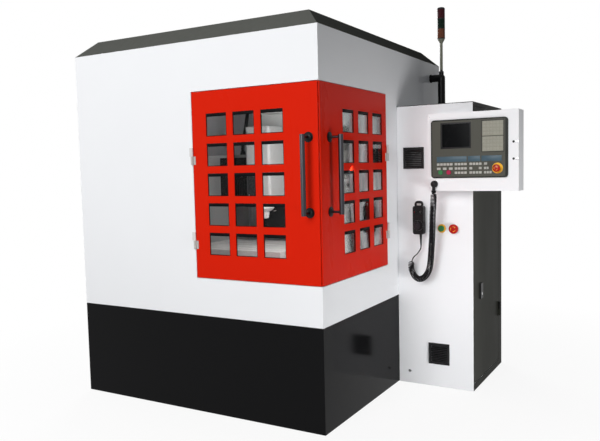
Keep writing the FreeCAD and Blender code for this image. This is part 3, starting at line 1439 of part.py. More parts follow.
def cord_tube(name, points, diameter):
    """A round cord along straight runs joined by arcs, each as large as its two runs allow."""
    shift = FreeCAD.Vector(number(MIDDLE["x"]), number(MIDDLE["y"]), 0)
    route = [FreeCAD.Vector(*point) - shift for point in points]
    edges = []
    start = route[0]
    smallest = 1e9
    for before, corner, after in zip(route, route[1:], route[2:]):
        back = (before - corner)
        ahead = (after - corner)
        reach = 0.45 * min(back.Length, ahead.Length)
        half_turn = (FreeCAD.Vector(0, 0, 0) - back).getAngle(ahead) / 2
        radius = reach / max(1e-6, abs(math.tan(half_turn)))
        smallest = min(smallest, radius)
        back.normalize()
        ahead.normalize()
        enter = corner + back * reach
        leave = corner + ahead * reach
        bisector = back + ahead
        bisector.normalize()
        centre_gap = (radius * radius + reach * reach) ** 0.5
        middle = corner + bisector * (centre_gap - radius)
        edges.append(Part.LineSegment(start, enter).toShape())
        edges.append(Part.Arc(enter, middle, leave).toShape())
        start = leave
    edges.append(Part.LineSegment(start, route[-1]).toShape())
    path = Part.Wire(edges)
    direction = route[1] - route[0]
    profile = Part.Wire([Part.makeCircle(diameter / 2, route[0], direction)])
    tube = path.makePipeShell([profile], True, False)
    expected = 3.14159265 * diameter * diameter / 4 * path.Length
    share = tube.Volume / expected
    print(f"{name}: smallest radius {smallest:.1f}, length {path.Length:.1f}, volume {share:.4f}")
    item = doc.addObject("Part::Feature", name)
    item.Shape = tube
    return item


# points of the cord's route, from the pendant's boot to the curly part and up to the operator box
COIL_START = (106, 926, 752)
COIL_END = (272, 844, 1158)
CORD_POINTS = [
    (165, 923, 851),
    (165, 923, 834),
    (154, 925, 817),
    (136, 928, 794),
    (112, 928, 776),
    COIL_START,
]
COIL_POINTS = [
    COIL_START,
    (100, 924, 728),
    (107, 921, 699),
    (123, 917, 669),
    (147, 912, 652),
    (173, 907, 654),
    (200, 902, 673),
    (220, 897, 704),
    (232, 892, 742),
    (243, 879, 831),
    (252, 868, 895),
    (258, 858, 978),
    (263, 850, 1055),
    (270, 845, 1112),
    COIL_END,
]


# points of the conduit from the gantry's beam to the roof
CONDUIT_POINTS = [
    (-1190, 1075, 1446),
    (-1190, 1075, 1490),
    (-1172, 1075, 1560),
    (-1150, 1073, 1650),
    (-1132, 1068, 1760),
    (-1112, 1062, 1880),
    (-1105, 1060, 1980),
    (-1105, 1060, 2062),
]


def screw_gland(name, end, face, turn):
    """A conduit's gland on a level face: a wide collar and a narrower mouth at the conduit's end."""
    foot = (f"{end[0]}", f"{end[1]}", face)
    collar = rod(f"{name}_collar", foot, "mouth_long / 2", "conduit_diam + 2 * mouth_wall", turn)
    mouth = rod(f"{name}_mouth", foot, "mouth_long", "conduit_diam + mouth_wall", turn)
    return fuse(name, [collar, mouth])


def cable_glands():
    """The plug on the operator box with the cord's outlet below, and the glands at the conduit's ends."""
    dome = at(new_body("gland_dome"), "gland_x", BOX_FRONT, "gland_z", "-y")
    points = [
        ("0", "0"),
        ("gland_diam / 2", "0"),
        ("gland_diam / 2", "gland_deep * 0.4"),
        ("gland_diam * 0.4", "gland_deep * 0.7"),
        ("gland_diam / 4", "gland_deep * 0.93"),
        ("0", "gland_deep"),
    ]
    revolve(dome, points)
    mouth = ("gland_x - outlet_side", f"{BOX_FRONT} - outlet_out", "gland_z - outlet_drop")
    outlet = rod("gland_outlet", mouth, "outlet_drop - outlet_out / 2", "outlet_diam")
    beam = screw_gland("beam_gland", CONDUIT_POINTS[0], "beam_top", "z")
    roof = screw_gland("roof_gland", CONDUIT_POINTS[-1], "ridge - sheet_wall", "-z")
    return group("cable_glands", [fuse("panel_gland", [dome, outlet]), beam, roof])


def coil_boot():
    """The tapered strain relief between the gland and the curly cord."""
    shift = FreeCAD.Vector(number(MIDDLE["x"]), number(MIDDLE["y"]), 0)
    mouth_at = ("gland_x - outlet_side", f"{BOX_FRONT} - outlet_out", "gland_z - outlet_drop")
    mouth = [number(text) for text in mouth_at]
    foot = FreeCAD.Vector(*COIL_END)
    axis = FreeCAD.Vector(*mouth) - foot
    play = number("boot_play")
    tall = axis.Length - 2 * play
    start = foot + axis * (play / axis.Length)
    item = doc.addObject("Part::Feature", "coil_boot")
    item.Shape = Part.makeCone(number("boot_wide / 2"), number("boot_top / 2"), tall, start - shift, axis)
    return item


# --- signal tower and cable duct ---

ARM_Z = "(cab_height + duct_rise)"
POLE_FOOT = f"({ARM_Z} + duct_diam / 2 + socket_tall)"
LAMP_LOW = f"({POLE_FOOT} + pole_tall)"


def cable_duct():
    """The black duct from the enclosure's side down into the cabinet, with flanges at both ends."""
    arm = rod("duct_arm", ("0", "tower_y", ARM_Z), "tower_x", "duct_diam", "x")
    drop = rod("duct_drop", ("tower_x", "tower_y", "cab_height"), "duct_rise", "duct_diam")
    elbow = doc.addObject("Part::Sphere", "duct_elbow")
    at(elbow, "tower_x", "tower_y", ARM_Z)
    bind(elbow, "Radius", "duct_diam / 2")
    wall_flange = rod("duct_wall_flange", ("0", "tower_y", ARM_Z), "duct_flange_thick", "duct_flange", "x")
    foot = ("tower_x", "tower_y", "cab_height")
    foot_flange = rod("duct_foot_flange", foot, "duct_flange_thick", "foot_flange")
    middle = ("tower_x", "tower_y", ARM_Z)
    socket = rod("duct_socket", middle, "duct_diam / 2 + socket_tall", "pole_diam + 2 * socket_wall")
    return fuse("cable_duct", [arm, drop, elbow, wall_flange, foot_flange, socket])


def tower_pole():
    """The tower's pole with the tapered seat of its lamps."""
    body = at(new_body("tower_pole"), "tower_x", "tower_y", POLE_FOOT)
    points = [
        ("0", "0"),
        ("pole_diam / 2", "0"),
        ("pole_diam / 2", "pole_tall - 30"),
        ("lamp_diam / 2 - 3", "pole_tall - 8"),
        ("lamp_diam / 2 - 3", "pole_tall"),
        ("0", "pole_tall"),
    ]
    revolve(body, points)
    return body


def lamp(name, place):
    """One lamp of the tower; the top one carries the cap."""
    top = place == 2
    body = at(new_body(name), "tower_x", "tower_y", f"{LAMP_LOW} + {place} * lamp_tall")
    tall = "lamp_tall + lamp_cap" if top else "lamp_tall"
    points = [
        ("0", "0"),
        ("lamp_diam / 2 - 1.5", "0"),
        ("lamp_diam / 2 - 1.5", "3"),
        ("lamp_diam / 2", "3"),
        ("lamp_diam / 2", "lamp_tall - 2"),
        ("lamp_diam / 2 - 3", tall if not top else "lamp_tall + lamp_cap - 4"),
        ("0", tall),
    ]
    revolve(body, points)
    return body


# --- all the nodes ---


def build():
    """Every sub-part, by the name of its node."""
    left_column = "column - bed_left"
    right_column = "-bed_right - column"
    saddle_left = "-head_middle - saddle_half"
    saddle_right = "-head_middle + saddle_half"
    return [
        levelling_feet(),
        machine_bed(),
        chip_tray(),
        skirt(),
        wall_front(),
        wall_right(),
        wall_left(),
        wall_rear(),
        roof_cap(),
        gantry(),
        linear_rails(),
        work_lamp(),
        door_hinges(),
        front_door(),
        front_pane(),
        bar_handle("front_handle", ("-front_handle", "0"), ("-front_handle", "-handle_off"), "-y"),
        side_door(),
        side_pane(),
        bar_handle("side_handle", ("0", "side_handle"), ("handle_off", "side_handle"), "x"),
        table_carriage(),
        work_table(),
        x_saddle(),
        z_motor(),
        z_head(),
        spindle_housing(),
        spindle_shaft(),
        table_bellows("front_bellows", "bed_front", "carriage_front"),
        table_bellows("rear_bellows", "carriage_back", "y_rail_back"),
        beam_bellows("left_bellows", left_column, saddle_left),
        beam_bellows("right_bellows", saddle_right, right_column),
        cabinet_shell(),
        cabinet_door(),
        cabinet_latch(),
        cabinet_electrics(),
        vent_grilles(),
        operator_box(),
        panel_bezel(),
        panel_screen(),
        panel_keypad(),
        button_collars(),
        mushroom("panel_stop", "stop_x", BEZEL_FRONT, "stop_z", "panel_stop_diam", "panel_stop_neck"),
        push_button("panel_start", "start_x", BEZEL_FRONT, "start_z", "key_diam", "0", "key_tall"),
        push_button("panel_hold", "hold_x", BEZEL_FRONT, "start_z", "key_diam", "0", "key_tall"),
        mushroom("cabinet_stop", "cab_stop_x", "cab_front", "cab_button_z", "cab_stop_diam", "cab_stop_neck"),
        push_button("cabinet_start", *CAB_START, "cab_start_diam", "collar_thick", "cab_start_tall"),
        pendant_body(),
        pendant_hook(),
        handwheel(),
        knob("axis_knob", "pend_x - knob_off"),
        knob("factor_knob", "pend_x + knob_off"),
        cord_tube("pendant_cord", CORD_POINTS, number("cord_diam")),
        cord_tube("curly_cord", COIL_POINTS, number("coil_diam")),
        cord_tube("beam_conduit", CONDUIT_POINTS, number("conduit_diam")),
        cable_glands(),
        coil_boot(),
        cable_duct(),
        tower_pole(),
        lamp("lamp_amber", 0),
        lamp("lamp_green", 1),
        lamp("lamp_red", 2),
    ]


def check(nodes):
    """Stops on any failed object or wrong shape."""
    for item in doc.Objects:
        if {"Invalid", "Error"} & set(item.State):
            raise ValueError(f"{item.Label} failed: {item.State}")
    for node in nodes:
        if node.Shape.isNull() or not node.Shape.isValid() or node.Shape.Volume <= 0:
            raise ValueError(f"{node.Label} has no valid solid")


def write(nodes):
    os.makedirs("parts", exist_ok=True)
    for node in nodes:
        node.Shape.exportStep(f"parts/{node.Label}.step")


nodes = build()
doc.recompute()
check(nodes)
write(nodes)
whole = Part.makeCompound([node.Shape for node in nodes]).BoundBox
print(f"{len(nodes)} nodes, box {whole}")
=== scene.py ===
# %% [markdown]
# # Dressing a machining center
# This lesson gives a finished look to a CNC machining center: a white steel enclosure with red
# corner doors on a glossy black skirt, and a control cabinet with its operator box beside it.
# The rigid parts come from the CAD model, so Blender only adds what CAD leaves plain: paint,
# rubber, glass, small keys and screws, pleated covers and a curly cord. Each step says what the
# real thing is, how it could be made, and why one way was chosen.

# %% Load the CAD model
import math

import bpy
from mathutils import Matrix, Vector


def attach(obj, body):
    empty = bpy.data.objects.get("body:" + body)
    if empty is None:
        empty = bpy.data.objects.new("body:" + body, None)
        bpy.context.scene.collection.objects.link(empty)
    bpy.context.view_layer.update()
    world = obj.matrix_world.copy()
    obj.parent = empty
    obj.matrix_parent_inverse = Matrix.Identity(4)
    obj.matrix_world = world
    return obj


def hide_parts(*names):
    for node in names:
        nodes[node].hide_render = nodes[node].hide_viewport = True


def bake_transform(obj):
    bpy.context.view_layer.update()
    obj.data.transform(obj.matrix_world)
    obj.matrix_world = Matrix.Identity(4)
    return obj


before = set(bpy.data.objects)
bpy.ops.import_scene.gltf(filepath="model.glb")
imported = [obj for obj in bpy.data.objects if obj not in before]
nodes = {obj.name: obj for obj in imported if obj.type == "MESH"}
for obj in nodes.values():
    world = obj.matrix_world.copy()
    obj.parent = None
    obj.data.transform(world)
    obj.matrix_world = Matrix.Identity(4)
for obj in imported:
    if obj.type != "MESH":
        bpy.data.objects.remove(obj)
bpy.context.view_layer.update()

# %% [markdown]
# ## Places on the machine
# A machine builder measures from an edge of the casing. Here every place is given in millimetres
# from the enclosure's front right corner at the floor: x to the right, y to the back, z up. One
# small function turns such a place into metres in the shared frame, so the numbers in this file
# read like those on a drawing.

# %% One function for every place
CORNER = Vector((0.443, -0.84825, 0.0))


def spot(x, y, z):
    """A place in millimetres from the enclosure's front right corner, in metres in the frame."""
    return CORNER + Vector((x, y, z)) / 1000


print("corner of the enclosure:", tuple(spot(0, 0, 0)))

# %% [markdown]
# ## The camera
# The picture was taken from the front right at about eye height, with a slight downward look. A
# camera can be placed by eye, but here its place and turn were worked out from the straight edges
# of the casing. It is built from its heading, its tilt and its small roll, which keeps each of
# them easy to change.

# %% Camera
HEADING, TILT, ROLL = 0.5256, -0.0772, -0.0234  # radians
CAMERA_PLACE = (1541.4, -2860.5, 1320.6)
FOCAL_PIXELS, PICTURE_WIDE = 678.4, 600
SENSOR_WIDE = 36
forward = Vector((
    -math.sin(HEADING) * math.cos(TILT), math.cos(HEADING) * math.cos(TILT), math.sin(TILT),
))
level_right = Vector((math.cos(HEADING), math.sin(HEADING), 0))
level_up = level_right.cross(forward)
across = math.cos(ROLL) * level_right + math.sin(ROLL) * level_up
upward = -math.sin(ROLL) * level_right + math.cos(ROLL) * level_up
camera = bpy.data.objects.new("camera", bpy.data.cameras.new("camera"))
bpy.context.scene.collection.objects.link(camera)
camera.data.sensor_width = SENSOR_WIDE
camera.data.lens = FOCAL_PIXELS * SENSOR_WIDE / PICTURE_WIDE
camera.data.clip_end = 60
heading_matrix = Matrix((across, upward, -forward)).transposed().to_4x4()
camera.matrix_world = Matrix.Translation(spot(*CAMERA_PLACE)) @ heading_matrix
bpy.context.scene.camera = camera
print("lens in mm:", round(camera.data.lens, 2))

# %% [markdown]
# ## The pendant's cord
# The hand pendant hangs on the cabinet. A thin cord leaves its lower end, swings to the left and
# turns into a curly cord that sags in a deep U and rises to a rubber boot under the operator box.
# A bent tube would look like wire, so the line is a NURBS spline through a few listed points,
# which stays smooth however it is bent. Two directions are carried along that line, turned as
# little as they can be, and the tube's rings are laid in them, so that the tube doesn't twist.

# %% The cord's two routes
TAIL_WIDE = 0.007
TAIL_ROUTE = [
    (165, 923, 851), (165, 923, 834), (154, 925, 817), (136, 928, 794), (112, 928, 776), (106, 926, 752),
]
COIL_ROUTE = [
    (106, 926, 752), (100, 924, 728), (107, 921, 699), (123, 917, 669), (147, 912, 652), (173, 907, 654),
    (200, 902, 673), (220, 897, 704), (232, 892, 742), (243, 879, 831), (252, 868, 895), (258, 858, 978),
    (263, 850, 1055), (270, 845, 1112), (272, 844, 1158),
]


def points_along(route):
    """The points of a route's smooth line, read from a NURBS spline."""
    curve = bpy.data.curves.new("line", "CURVE")
    curve.dimensions = "3D"
    curve.resolution_u = 16
    spline = curve.splines.new("NURBS")
    spline.points.add(len(route) - 1)
    for point, place in zip(spline.points, route):
        point.co = (*spot(*place), 1)
    spline.order_u = 3
    spline.use_endpoint_u = True
    bare = bpy.data.objects.new("line", curve)
    bpy.context.scene.collection.objects.link(bare)
    mesh = bpy.data.meshes.new_from_object(bare)
    points = [v.co.copy() for v in mesh.vertices]
    bpy.data.objects.remove(bare)
    bpy.data.meshes.remove(mesh)
    return points


def crossways(line, side_way):
    """Each point of a line with two directions across it, carried along from the first one."""
    for i, point in enumerate(line):
        along = (line[min(i + 1, len(line) - 1)] - line[max(i - 1, 0)]).normalized()
        side_way = (side_way - along * side_way.dot(along)).normalized()
        yield point, side_way, along.cross(side_way)


def tube_mesh(name, line, radii, sides):
    """A closed tube whose rings follow the points of a line, each with its own radius."""
    starts_upright = abs((line[1] - line[0]).normalized().z) > 0.9
    first_way = Vector((1, 0, 0)) if starts_upright else Vector((0, 0, 1))
    angles = [2 * math.pi * s / sides for s in range(sides)]
    rings, faces = [], []
    for (point, side_way, other), radius in zip(crossways(line, first_way), radii):
        rings += [point + radius * (math.cos(a) * side_way + math.sin(a) * other) for a in angles]
    for i in range(len(line) - 1):
        for s in range(sides):
            near, far = i * sides + s, i * sides + (s + 1) % sides
            faces.append((near, far, far + sides, near + sides))
    last = (len(line) - 1) * sides
    faces.append(tuple(reversed(range(sides))))
    faces.append(tuple(last + s for s in range(sides)))
    mesh = bpy.data.meshes.new(name)
    mesh.from_pydata(rings, [], faces)
    made = bpy.data.objects.new(name, mesh)
    bpy.context.scene.collection.objects.link(made)
    mesh.polygons.foreach_set("use_smooth", [True] * len(mesh.polygons))
    return made


def length_of(line):
    """The length of a line in metres."""
    return sum((b - a).length for a, b in zip(line, line[1:]))


tail_line = points_along(TAIL_ROUTE)
cord_tail = tube_mesh("cord_tail", tail_line, [TAIL_WIDE / 2] * len(tail_line), sides=20)
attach(cord_tail, "machine")
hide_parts("pendant_cord")
length_of(tail_line)
print("tail in m:", round(length_of(tail_line), 3))

# %% [markdown]
# A curly cord is a cable wound into a close spring. It could be an array bent along a curve, but
# an array squeezes the turns on the inside of a bend in odd ways. A loop gives the same result as
# the real winding: it walks along the smooth line, turns a pointer round it, and lays the cable
# where the pointer ends. The first and last turns start at the middle, so the cable grows out of
# the straight cord and ends inside the boot.

# %% The curly cord
WIRE, WOUND, TURN_RISE = 0.0058, 0.0155, 0.0078
STEPS = 22  # points in one turn
END_STEPS, END_SHARE = 1.5 * STEPS, 0.45


def even_steps(points, step):
    """The same smooth line with its points at even distances."""
    lengths = [0.0]
    for a, b in zip(points, points[1:]):
        lengths.append(lengths[-1] + (b - a).length)
    count = round(lengths[-1] / step)
    line, i = [], 0
    for k in range(count + 1):
        goal = lengths[-1] * k / count
        while i < len(lengths) - 2 and lengths[i + 1] < goal:
            i += 1
        share = (goal - lengths[i]) / (lengths[i + 1] - lengths[i])
        line.append(points[i].lerp(points[i + 1], share))
    return line


coil_line = even_steps(points_along(COIL_ROUTE), TURN_RISE / STEPS)
helix = []
for i, (point, side_way, other) in enumerate(crossways(coil_line, Vector((1, 0, 0)))):
    turn = 2 * math.pi * i / STEPS
    ends = min(1, i / END_STEPS, (len(coil_line) - 1 - i) / END_STEPS)
    reach = WOUND * (END_SHARE + (1 - END_SHARE) * (1 - (1 - ends) ** 2))
    helix.append(point + reach * (math.cos(turn) * side_way + math.sin(turn) * other))
curly = tube_mesh("curly_helix", helix, [WIRE / 2] * len(helix), sides=9)
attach(curly, "machine")
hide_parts("curly_cord")
print("turns:", len(coil_line) // STEPS, "cable in the coil, m:", round(length_of(helix), 2))

# %% [markdown]
# Inside the machine a thicker hose carries the spindle's cables up to the roof. Such a conduit is
# corrugated, so that it bends without folding. A smooth pipe with a striped bump would show a
# straight outline, and the ribs are large enough to be seen there, so each ring of the tube has
# its own radius: it swells and shrinks evenly along the same kind of smooth line.

# %% The corrugated conduit
HOSE_WIDE, RIB_MIDDLE, RIB_RISE = 0.028, 0.0128, 0.0012
RIB_STEPS, RIB_STEP = 6, 0.001
CONDUIT_ROUTE = [
    (-1190, 1075, 1446), (-1190, 1075, 1490), (-1172, 1075, 1560), (-1150, 1073, 1650),
    (-1132, 1068, 1760), (-1112, 1062, 1880), (-1105, 1060, 1980), (-1105, 1060, 2062),
]
conduit_line = even_steps(points_along(CONDUIT_ROUTE), RIB_STEP)
waves = [math.sin(2 * math.pi * i / RIB_STEPS) for i in range(len(conduit_line))]
ribbed = [RIB_MIDDLE + RIB_RISE * wave for wave in waves]
conduit = tube_mesh("conduit_hose", conduit_line, ribbed, sides=20)
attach(conduit, "machine")
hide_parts("beam_conduit")
hose_length = length_of(conduit_line)
print("conduit in m:", round(hose_length, 3))

# %% [markdown]
# ## Writing finishes as formulas
# Paint, rubber and steel are node trees, and long lists of links are hard to read. A small class
# wraps one output socket, so that sums and comparisons on it add Math nodes by themselves. One
# method of the other class adds every other kind of node. A finish then reads like a formula.

# %% Two small classes
class Field:
    """A number or colour that changes over a surface."""

    def __init__(self, finish, socket):
        self.finish, self.socket = finish, socket

    def math(self, how, first, second):
        return self.finish.node("Math", {"operation": how}, {0: first, 1: second})

    def __add__(self, other):
        return self.math("ADD", self, other)

    def __sub__(self, other):
        return self.math("SUBTRACT", self, other)

    def __rsub__(self, other):
        return self.math("SUBTRACT", other, self)

    def __mul__(self, other):
        return self.math("MULTIPLY", self, other)

    def __gt__(self, other):
        return self.math("GREATER_THAN", self, other)

    def __lt__(self, other):
        return self.math("LESS_THAN", self, other)

    __radd__, __rmul__ = __add__, __mul__


class Finish:
    """A material under construction, with its place on the machine at hand."""

    def __init__(self, name, colour, roughness, **constants):
        self.material = bpy.data.materials.new(name)
        self.material.use_nodes = True
        self.tree = self.material.node_tree
        self.shader = self.tree.nodes["Principled BSDF"]
        self.set("Base Color", (*colour, 1))
        self.set("Roughness", roughness)
        for socket, value in constants.items():
            self.set(socket.replace("_", " "), value)
        self.place = self.node("TexCoord", {}, {}, "Object")
        parts = self.tree.nodes.new("ShaderNodeSeparateXYZ")
        self.tree.links.new(self.place.socket, parts.inputs[0])
        self.x, self.y, self.z = (Field(self, out) for out in parts.outputs)

    def give(self, socket, value):
        """Links a field to a socket, or sets a plain value on it."""
        if isinstance(value, Field):
            self.tree.links.new(value.socket, socket)
        else:
            socket.default_value = value

    def set(self, socket, value):
        """Gives one of the shader's own sockets its value."""
        self.give(self.shader.inputs[socket], value)

    def node(self, kind, settings, values, out=0):
        """Adds a node: its kind, its settings, and the values or links of its sockets."""
        made = self.tree.nodes.new("ShaderNode" + kind)
        for name, setting in settings.items():
            if name == "stops":
                while len(made.color_ramp.elements) < len(setting):
                    made.color_ramp.elements.new(0.5)
                for element, (position, shade) in zip(made.color_ramp.elements, setting):
                    element.position, element.color = position, (shade, shade, shade, 1)
            else:
                setattr(made, name, setting)
        for name, value in values.items():
            self.give(made.inputs[name], value)
        return Field(self, made.outputs[out])

    def noise(self, scale, detail=3.0, stretch=(1, 1, 1)):
        """Soft noise from 0 to 1; a scale of 100 has spots of about 10 mm."""
        place = self.node("Mapping", {}, {"Vector": self.place, "Scale": stretch})
        return self.node("TexNoise", {}, {"Vector": place, "Scale": scale, "Detail": detail})

    def ramp(self, field, *stops):
        """Turns a field into greys by stops of (position, shade)."""
        return self.node("ValToRGB", {"stops": stops}, {"Fac": field})

    def between(self, mask, first, second):
        """One colour where the mask is 0 and another where it is 1."""
        pair = [(*c, 1) if isinstance(c, tuple) else c for c in (first, second)]
        return self.node("Mix", {"data_type": "RGBA"}, {0: mask, 6: pair[0], 7: pair[1]}, 2)

    def bump(self, height, distance, strength=1.0, smooth=None):
        """Dents of a height field, laid over rounded edges if they are given."""
        values = {"Height": height, "Distance": distance, "Strength": strength}
        if smooth:
            values["Normal"] = smooth
        return self.node("Bump", {}, values)


print("finish classes ready")

# %% [markdown]
# ## Painted steel
# The casing is sheet steel with baked paint. Such paint has a faint orange peel, a slight change
# of gloss where hands and cloths have wiped it, thin dust on what faces up, and edges that shine
# because the paint flows over them. An image could carry all this, but it would have to be fitted
# to every part. Noise needs no fitting and keeps its real size: a few millimetres for the peel,
# tens of centimetres for the wiping. A Bevel node rounds the shading at the sheet edges without
# touching the CAD mesh. Where one part has two colours, a mask by place picks the second; on the
# dark paint such a mask lays a painted reflection that fades from the front edge to the back.

# %% Paint
DUST_GREY = 0.32


def paint(
    name, colour, roughness, peel=0.00004, dust=0.12, edge=0.0015, gloss=0.5, where=None, there=None,
):
    """Baked paint; where is a mask made from the finish, and there is the colour that it picks."""
    made = Finish(name, colour, roughness, Specular_IOR_Level=gloss)
    patches = made.noise(2.3, 4.0)
    smears = made.noise(9.0, 5.0, (1, 1, 0.25))
    facing = made.node("NewGeometry", {}, {}, "Normal")
    up = made.node("SeparateXYZ", {}, {0: facing}, 2)
    settled = (up > 0.7) * made.ramp(made.noise(30.0, 4.0), (0.35, 0.0), (0.75, 1.0)) * dust
    darker = tuple(c * 0.93 for c in colour)
    greyer = tuple(0.6 * c + 0.4 * DUST_GREY for c in colour)
    tone = made.between(patches * 0.5, colour, darker)
    if where:
        tone = made.between(where(made), tone, there)
    made.set("Base Color", made.between(settled, tone, greyer))
    uneven = patches * (0.25 * roughness) + smears * (0.3 * roughness)
    made.set("Roughness", roughness * 0.75 + uneven + settled * 0.3)
    rounded = made.node("Bevel", {"samples": 4}, {"Radius": edge})
    made.set("Normal", made.bump(made.noise(330.0, 2.0), peel, 1.0, rounded))
    return made


WHITE = (0.87, 0.88, 0.9)
white_paint = paint("white_paint", WHITE, 0.32, gloss=0.1)
HINGE_PROUD = 0.0007  # what stands further out of the leaves is a hinge
red_paint = paint(
    "red_paint", (0.66, 0.016, 0.004), 0.28, gloss=0.03, there=(0.5, 0.49, 0.48),
    where=lambda made: (made.y < CORNER.y - HINGE_PROUD) + (made.x > CORNER.x + HINGE_PROUD),
)
black_paint = paint("black_paint", (0.006, 0.006, 0.0065), 0.12, gloss=0.05, dust=0.01)
roof_paint = paint("roof_paint", (0.12, 0.124, 0.113), 0.42, gloss=0.0, dust=0.1)
# The dark paint grows lighter towards its front edge: a painted reflection that fades towards the back.
dark_paint = paint(
    "dark_paint", (0.034, 0.035, 0.029), 0.36, gloss=0.008, dust=0.04, there=(0.05, 0.051, 0.043),
    where=lambda made: made.ramp(made.y, (0.15, 1.0), (0.32, 0.0)),
)
CABINET_SIDE, CABINET_FRONT, CABINET_TOP = CORNER.x + 0.4592, CORNER.y + 0.976, 1.6695
cabinet_paint = paint(
    "cabinet_paint", WHITE, 0.36, gloss=0.008, there=(0.028, 0.029, 0.024),
    where=lambda made: (made.x > CABINET_SIDE) + (made.z > CABINET_TOP) * (made.y < CABINET_FRONT),
)
cast_paint = paint("cast_paint", (0.42, 0.43, 0.42), 0.45, peel=0.00015, dust=0.3, edge=0.004)
CABINET_HINGES, POLE_NUT_TOP = 0.7, 1.95
hinge_paint = paint(
    "hinge_paint", (0.68, 0.67, 0.66), 0.35, gloss=0.05, there=(0.02, 0.02, 0.02),
    where=lambda made: made.x > CABINET_HINGES,
)
pole_paint = paint(
    "pole_paint", (0.012, 0.012, 0.013), 0.3, gloss=0.05, there=(0.16, 0.165, 0.13),
    where=lambda made: made.z > POLE_NUT_TOP,
)
GUARD_EDGE, GUARD_TOP = CORNER.x - 0.787, 1.345
head_paint = paint(
    "head_paint", (0.3, 0.305, 0.3), 0.45, peel=0.00015, dust=0.3, edge=0.004,
    there=(0.008, 0.008, 0.009), where=lambda made: (made.x < GUARD_EDGE) * (made.z < GUARD_TOP),
)
sheet_grey = paint("sheet_grey", (0.4, 0.41, 0.41), 0.42, dust=0.25)
print("paints:", [m.material.name for m in (white_paint, red_paint, black_paint, roof_paint, dark_paint)])

# %% [markdown]
# ## Bare metal
# Cast iron is rough and dull, with small pits. A machined table is bright and carries the fine
# scratches of cutting and cleaning, and rails are ground along their length. The handles are
# brushed bars. Each could have its own tree, but they differ only in grain, its direction and how
# dull it is, so one function makes them all. Oily cast iron and worn steel mirror less than clean
# metal, which a lower Metallic gives.

# %% Metals
def metal(name, colour, roughness, grain, stretch, depth, stain=0.15):
    """Bare metal whose grain is noise stretched along the way it was worked."""
    made = Finish(name, colour, roughness, Metallic=1.0)
    lines = made.noise(grain, 3.0, stretch)
    stains = made.ramp(made.noise(7.0, 5.0), (0.45, 0.0), (0.7, 1.0))
    made.set("Base Color", made.between(stains * stain, colour, tuple(c * 0.45 for c in colour)))
    made.set("Roughness", lines * (0.35 * roughness) + roughness * 0.8 + stains * 0.12)
    rounded = made.node("Bevel", {"samples": 4}, {"Radius": 0.0008})
    made.set("Normal", made.bump(lines, depth, 1.0, rounded))
    return made


steel = metal("steel", (0.56, 0.56, 0.57), 0.3, 260.0, (0.06, 1, 1), 0.00002)
handle_metal = metal("handle_metal", (0.075, 0.073, 0.08), 0.32, 500.0, (1, 1, 0.03), 0.00002, 0.1)
ROSETTE_DEEP = 0.012  # the feet of the handles' posts, which are black
rosette = (handle_metal.x < CORNER.x + ROSETTE_DEEP) * (handle_metal.y > CORNER.y - ROSETTE_DEEP)
handle_metal.set("Base Color", handle_metal.between(rosette, (0.045, 0.044, 0.05), (0.016, 0.016, 0.017)))
table_top = metal("table_top", (0.72, 0.71, 0.69), 0.34, 300.0, (0.05, 1, 1), 0.00003, 0.3)
table_top.set("Metallic", 0.35)
bright_steel = metal("bright_steel", (0.78, 0.78, 0.77), 0.3, 420.0, (1, 1, 0.05), 0.00002, 0.1)
bright_steel.set("Metallic", 0.45)
cast = metal("cast", (0.2, 0.205, 0.2), 0.62, 300.0, (1, 1, 1), 0.0004, 0.5)
cast.set("Metallic", 0.55)
print("metals ready")

# %% [markdown]
# ## Plastic and rubber
# Moulded plastic has a fine etched grain, so it looks even but never mirror-like. Rubber is duller
# and picks up scuffs. A plain colour would look like a toy, and a separate tree for each part
# would be long, so one function takes the colour, the dullness and the size of the grain.

# %% Plastics and rubbers
def plastic(name, colour, roughness, grain=900.0, depth=0.00003, coat=0.0, glow=0.0, gloss=0.12):
    """Moulded plastic: an etched grain, faint scuffs and slightly rounded edges."""
    made = Finish(name, colour, roughness, Specular_IOR_Level=gloss)
    made.set("Coat Weight", coat)
    if glow:
        made.set("Emission Color", (*colour, 1))
        made.set("Emission Strength", glow)
    scuffs = made.ramp(made.noise(60.0, 6.0, (1, 1, 0.4)), (0.55, 0.0), (0.8, 1.0))
    lighter = tuple(min(1, c * 1.25 + 0.008) for c in colour)
    made.set("Base Color", made.between(scuffs * 0.5, colour, lighter))
    made.set("Roughness", roughness * 0.9 + scuffs * 0.15)
    rounded = made.node("Bevel", {"samples": 4}, {"Radius": 0.0006})
    made.set("Normal", made.bump(made.noise(grain, 2.0), depth, 1.0, rounded))
    return made


black_plastic = plastic("black_plastic", (0.014, 0.014, 0.015), 0.42)
bezel = plastic("bezel", (0.066, 0.067, 0.054), 0.46, grain=1400.0)
# Outside these bounds the bezel is painted near black: a painted shade band round its edge, which stands
# in for the shaded side and the shadow of the raised frame.
RIM_LEFT, RIM_RIGHT, RIM_LOW, RIM_HIGH = CORNER.x + 0.263, CORNER.x + 0.669, 1.252, 1.562
painted_shade_rim = (bezel.x > RIM_RIGHT) + (bezel.x < RIM_LEFT) + (bezel.z < RIM_LOW) + (bezel.z > RIM_HIGH)
bezel.set("Base Color", bezel.between(painted_shade_rim, (0.068, 0.069, 0.056), (0.012, 0.013, 0.011)))
keypad = plastic("keypad", (0.27, 0.27, 0.22), 0.4, grain=1600.0)
collar = plastic("collar", (0.84, 0.44, 0.03), 0.32, coat=0.1)
stop_red = plastic("stop_red", (0.4, 0.006, 0.006), 0.25, coat=0.1)
start_green = plastic("start_green", (0.04, 0.2, 0.07), 0.27, coat=0.1)
hold_red = plastic("hold_red", (0.36, 0.012, 0.06), 0.3, coat=0.1)
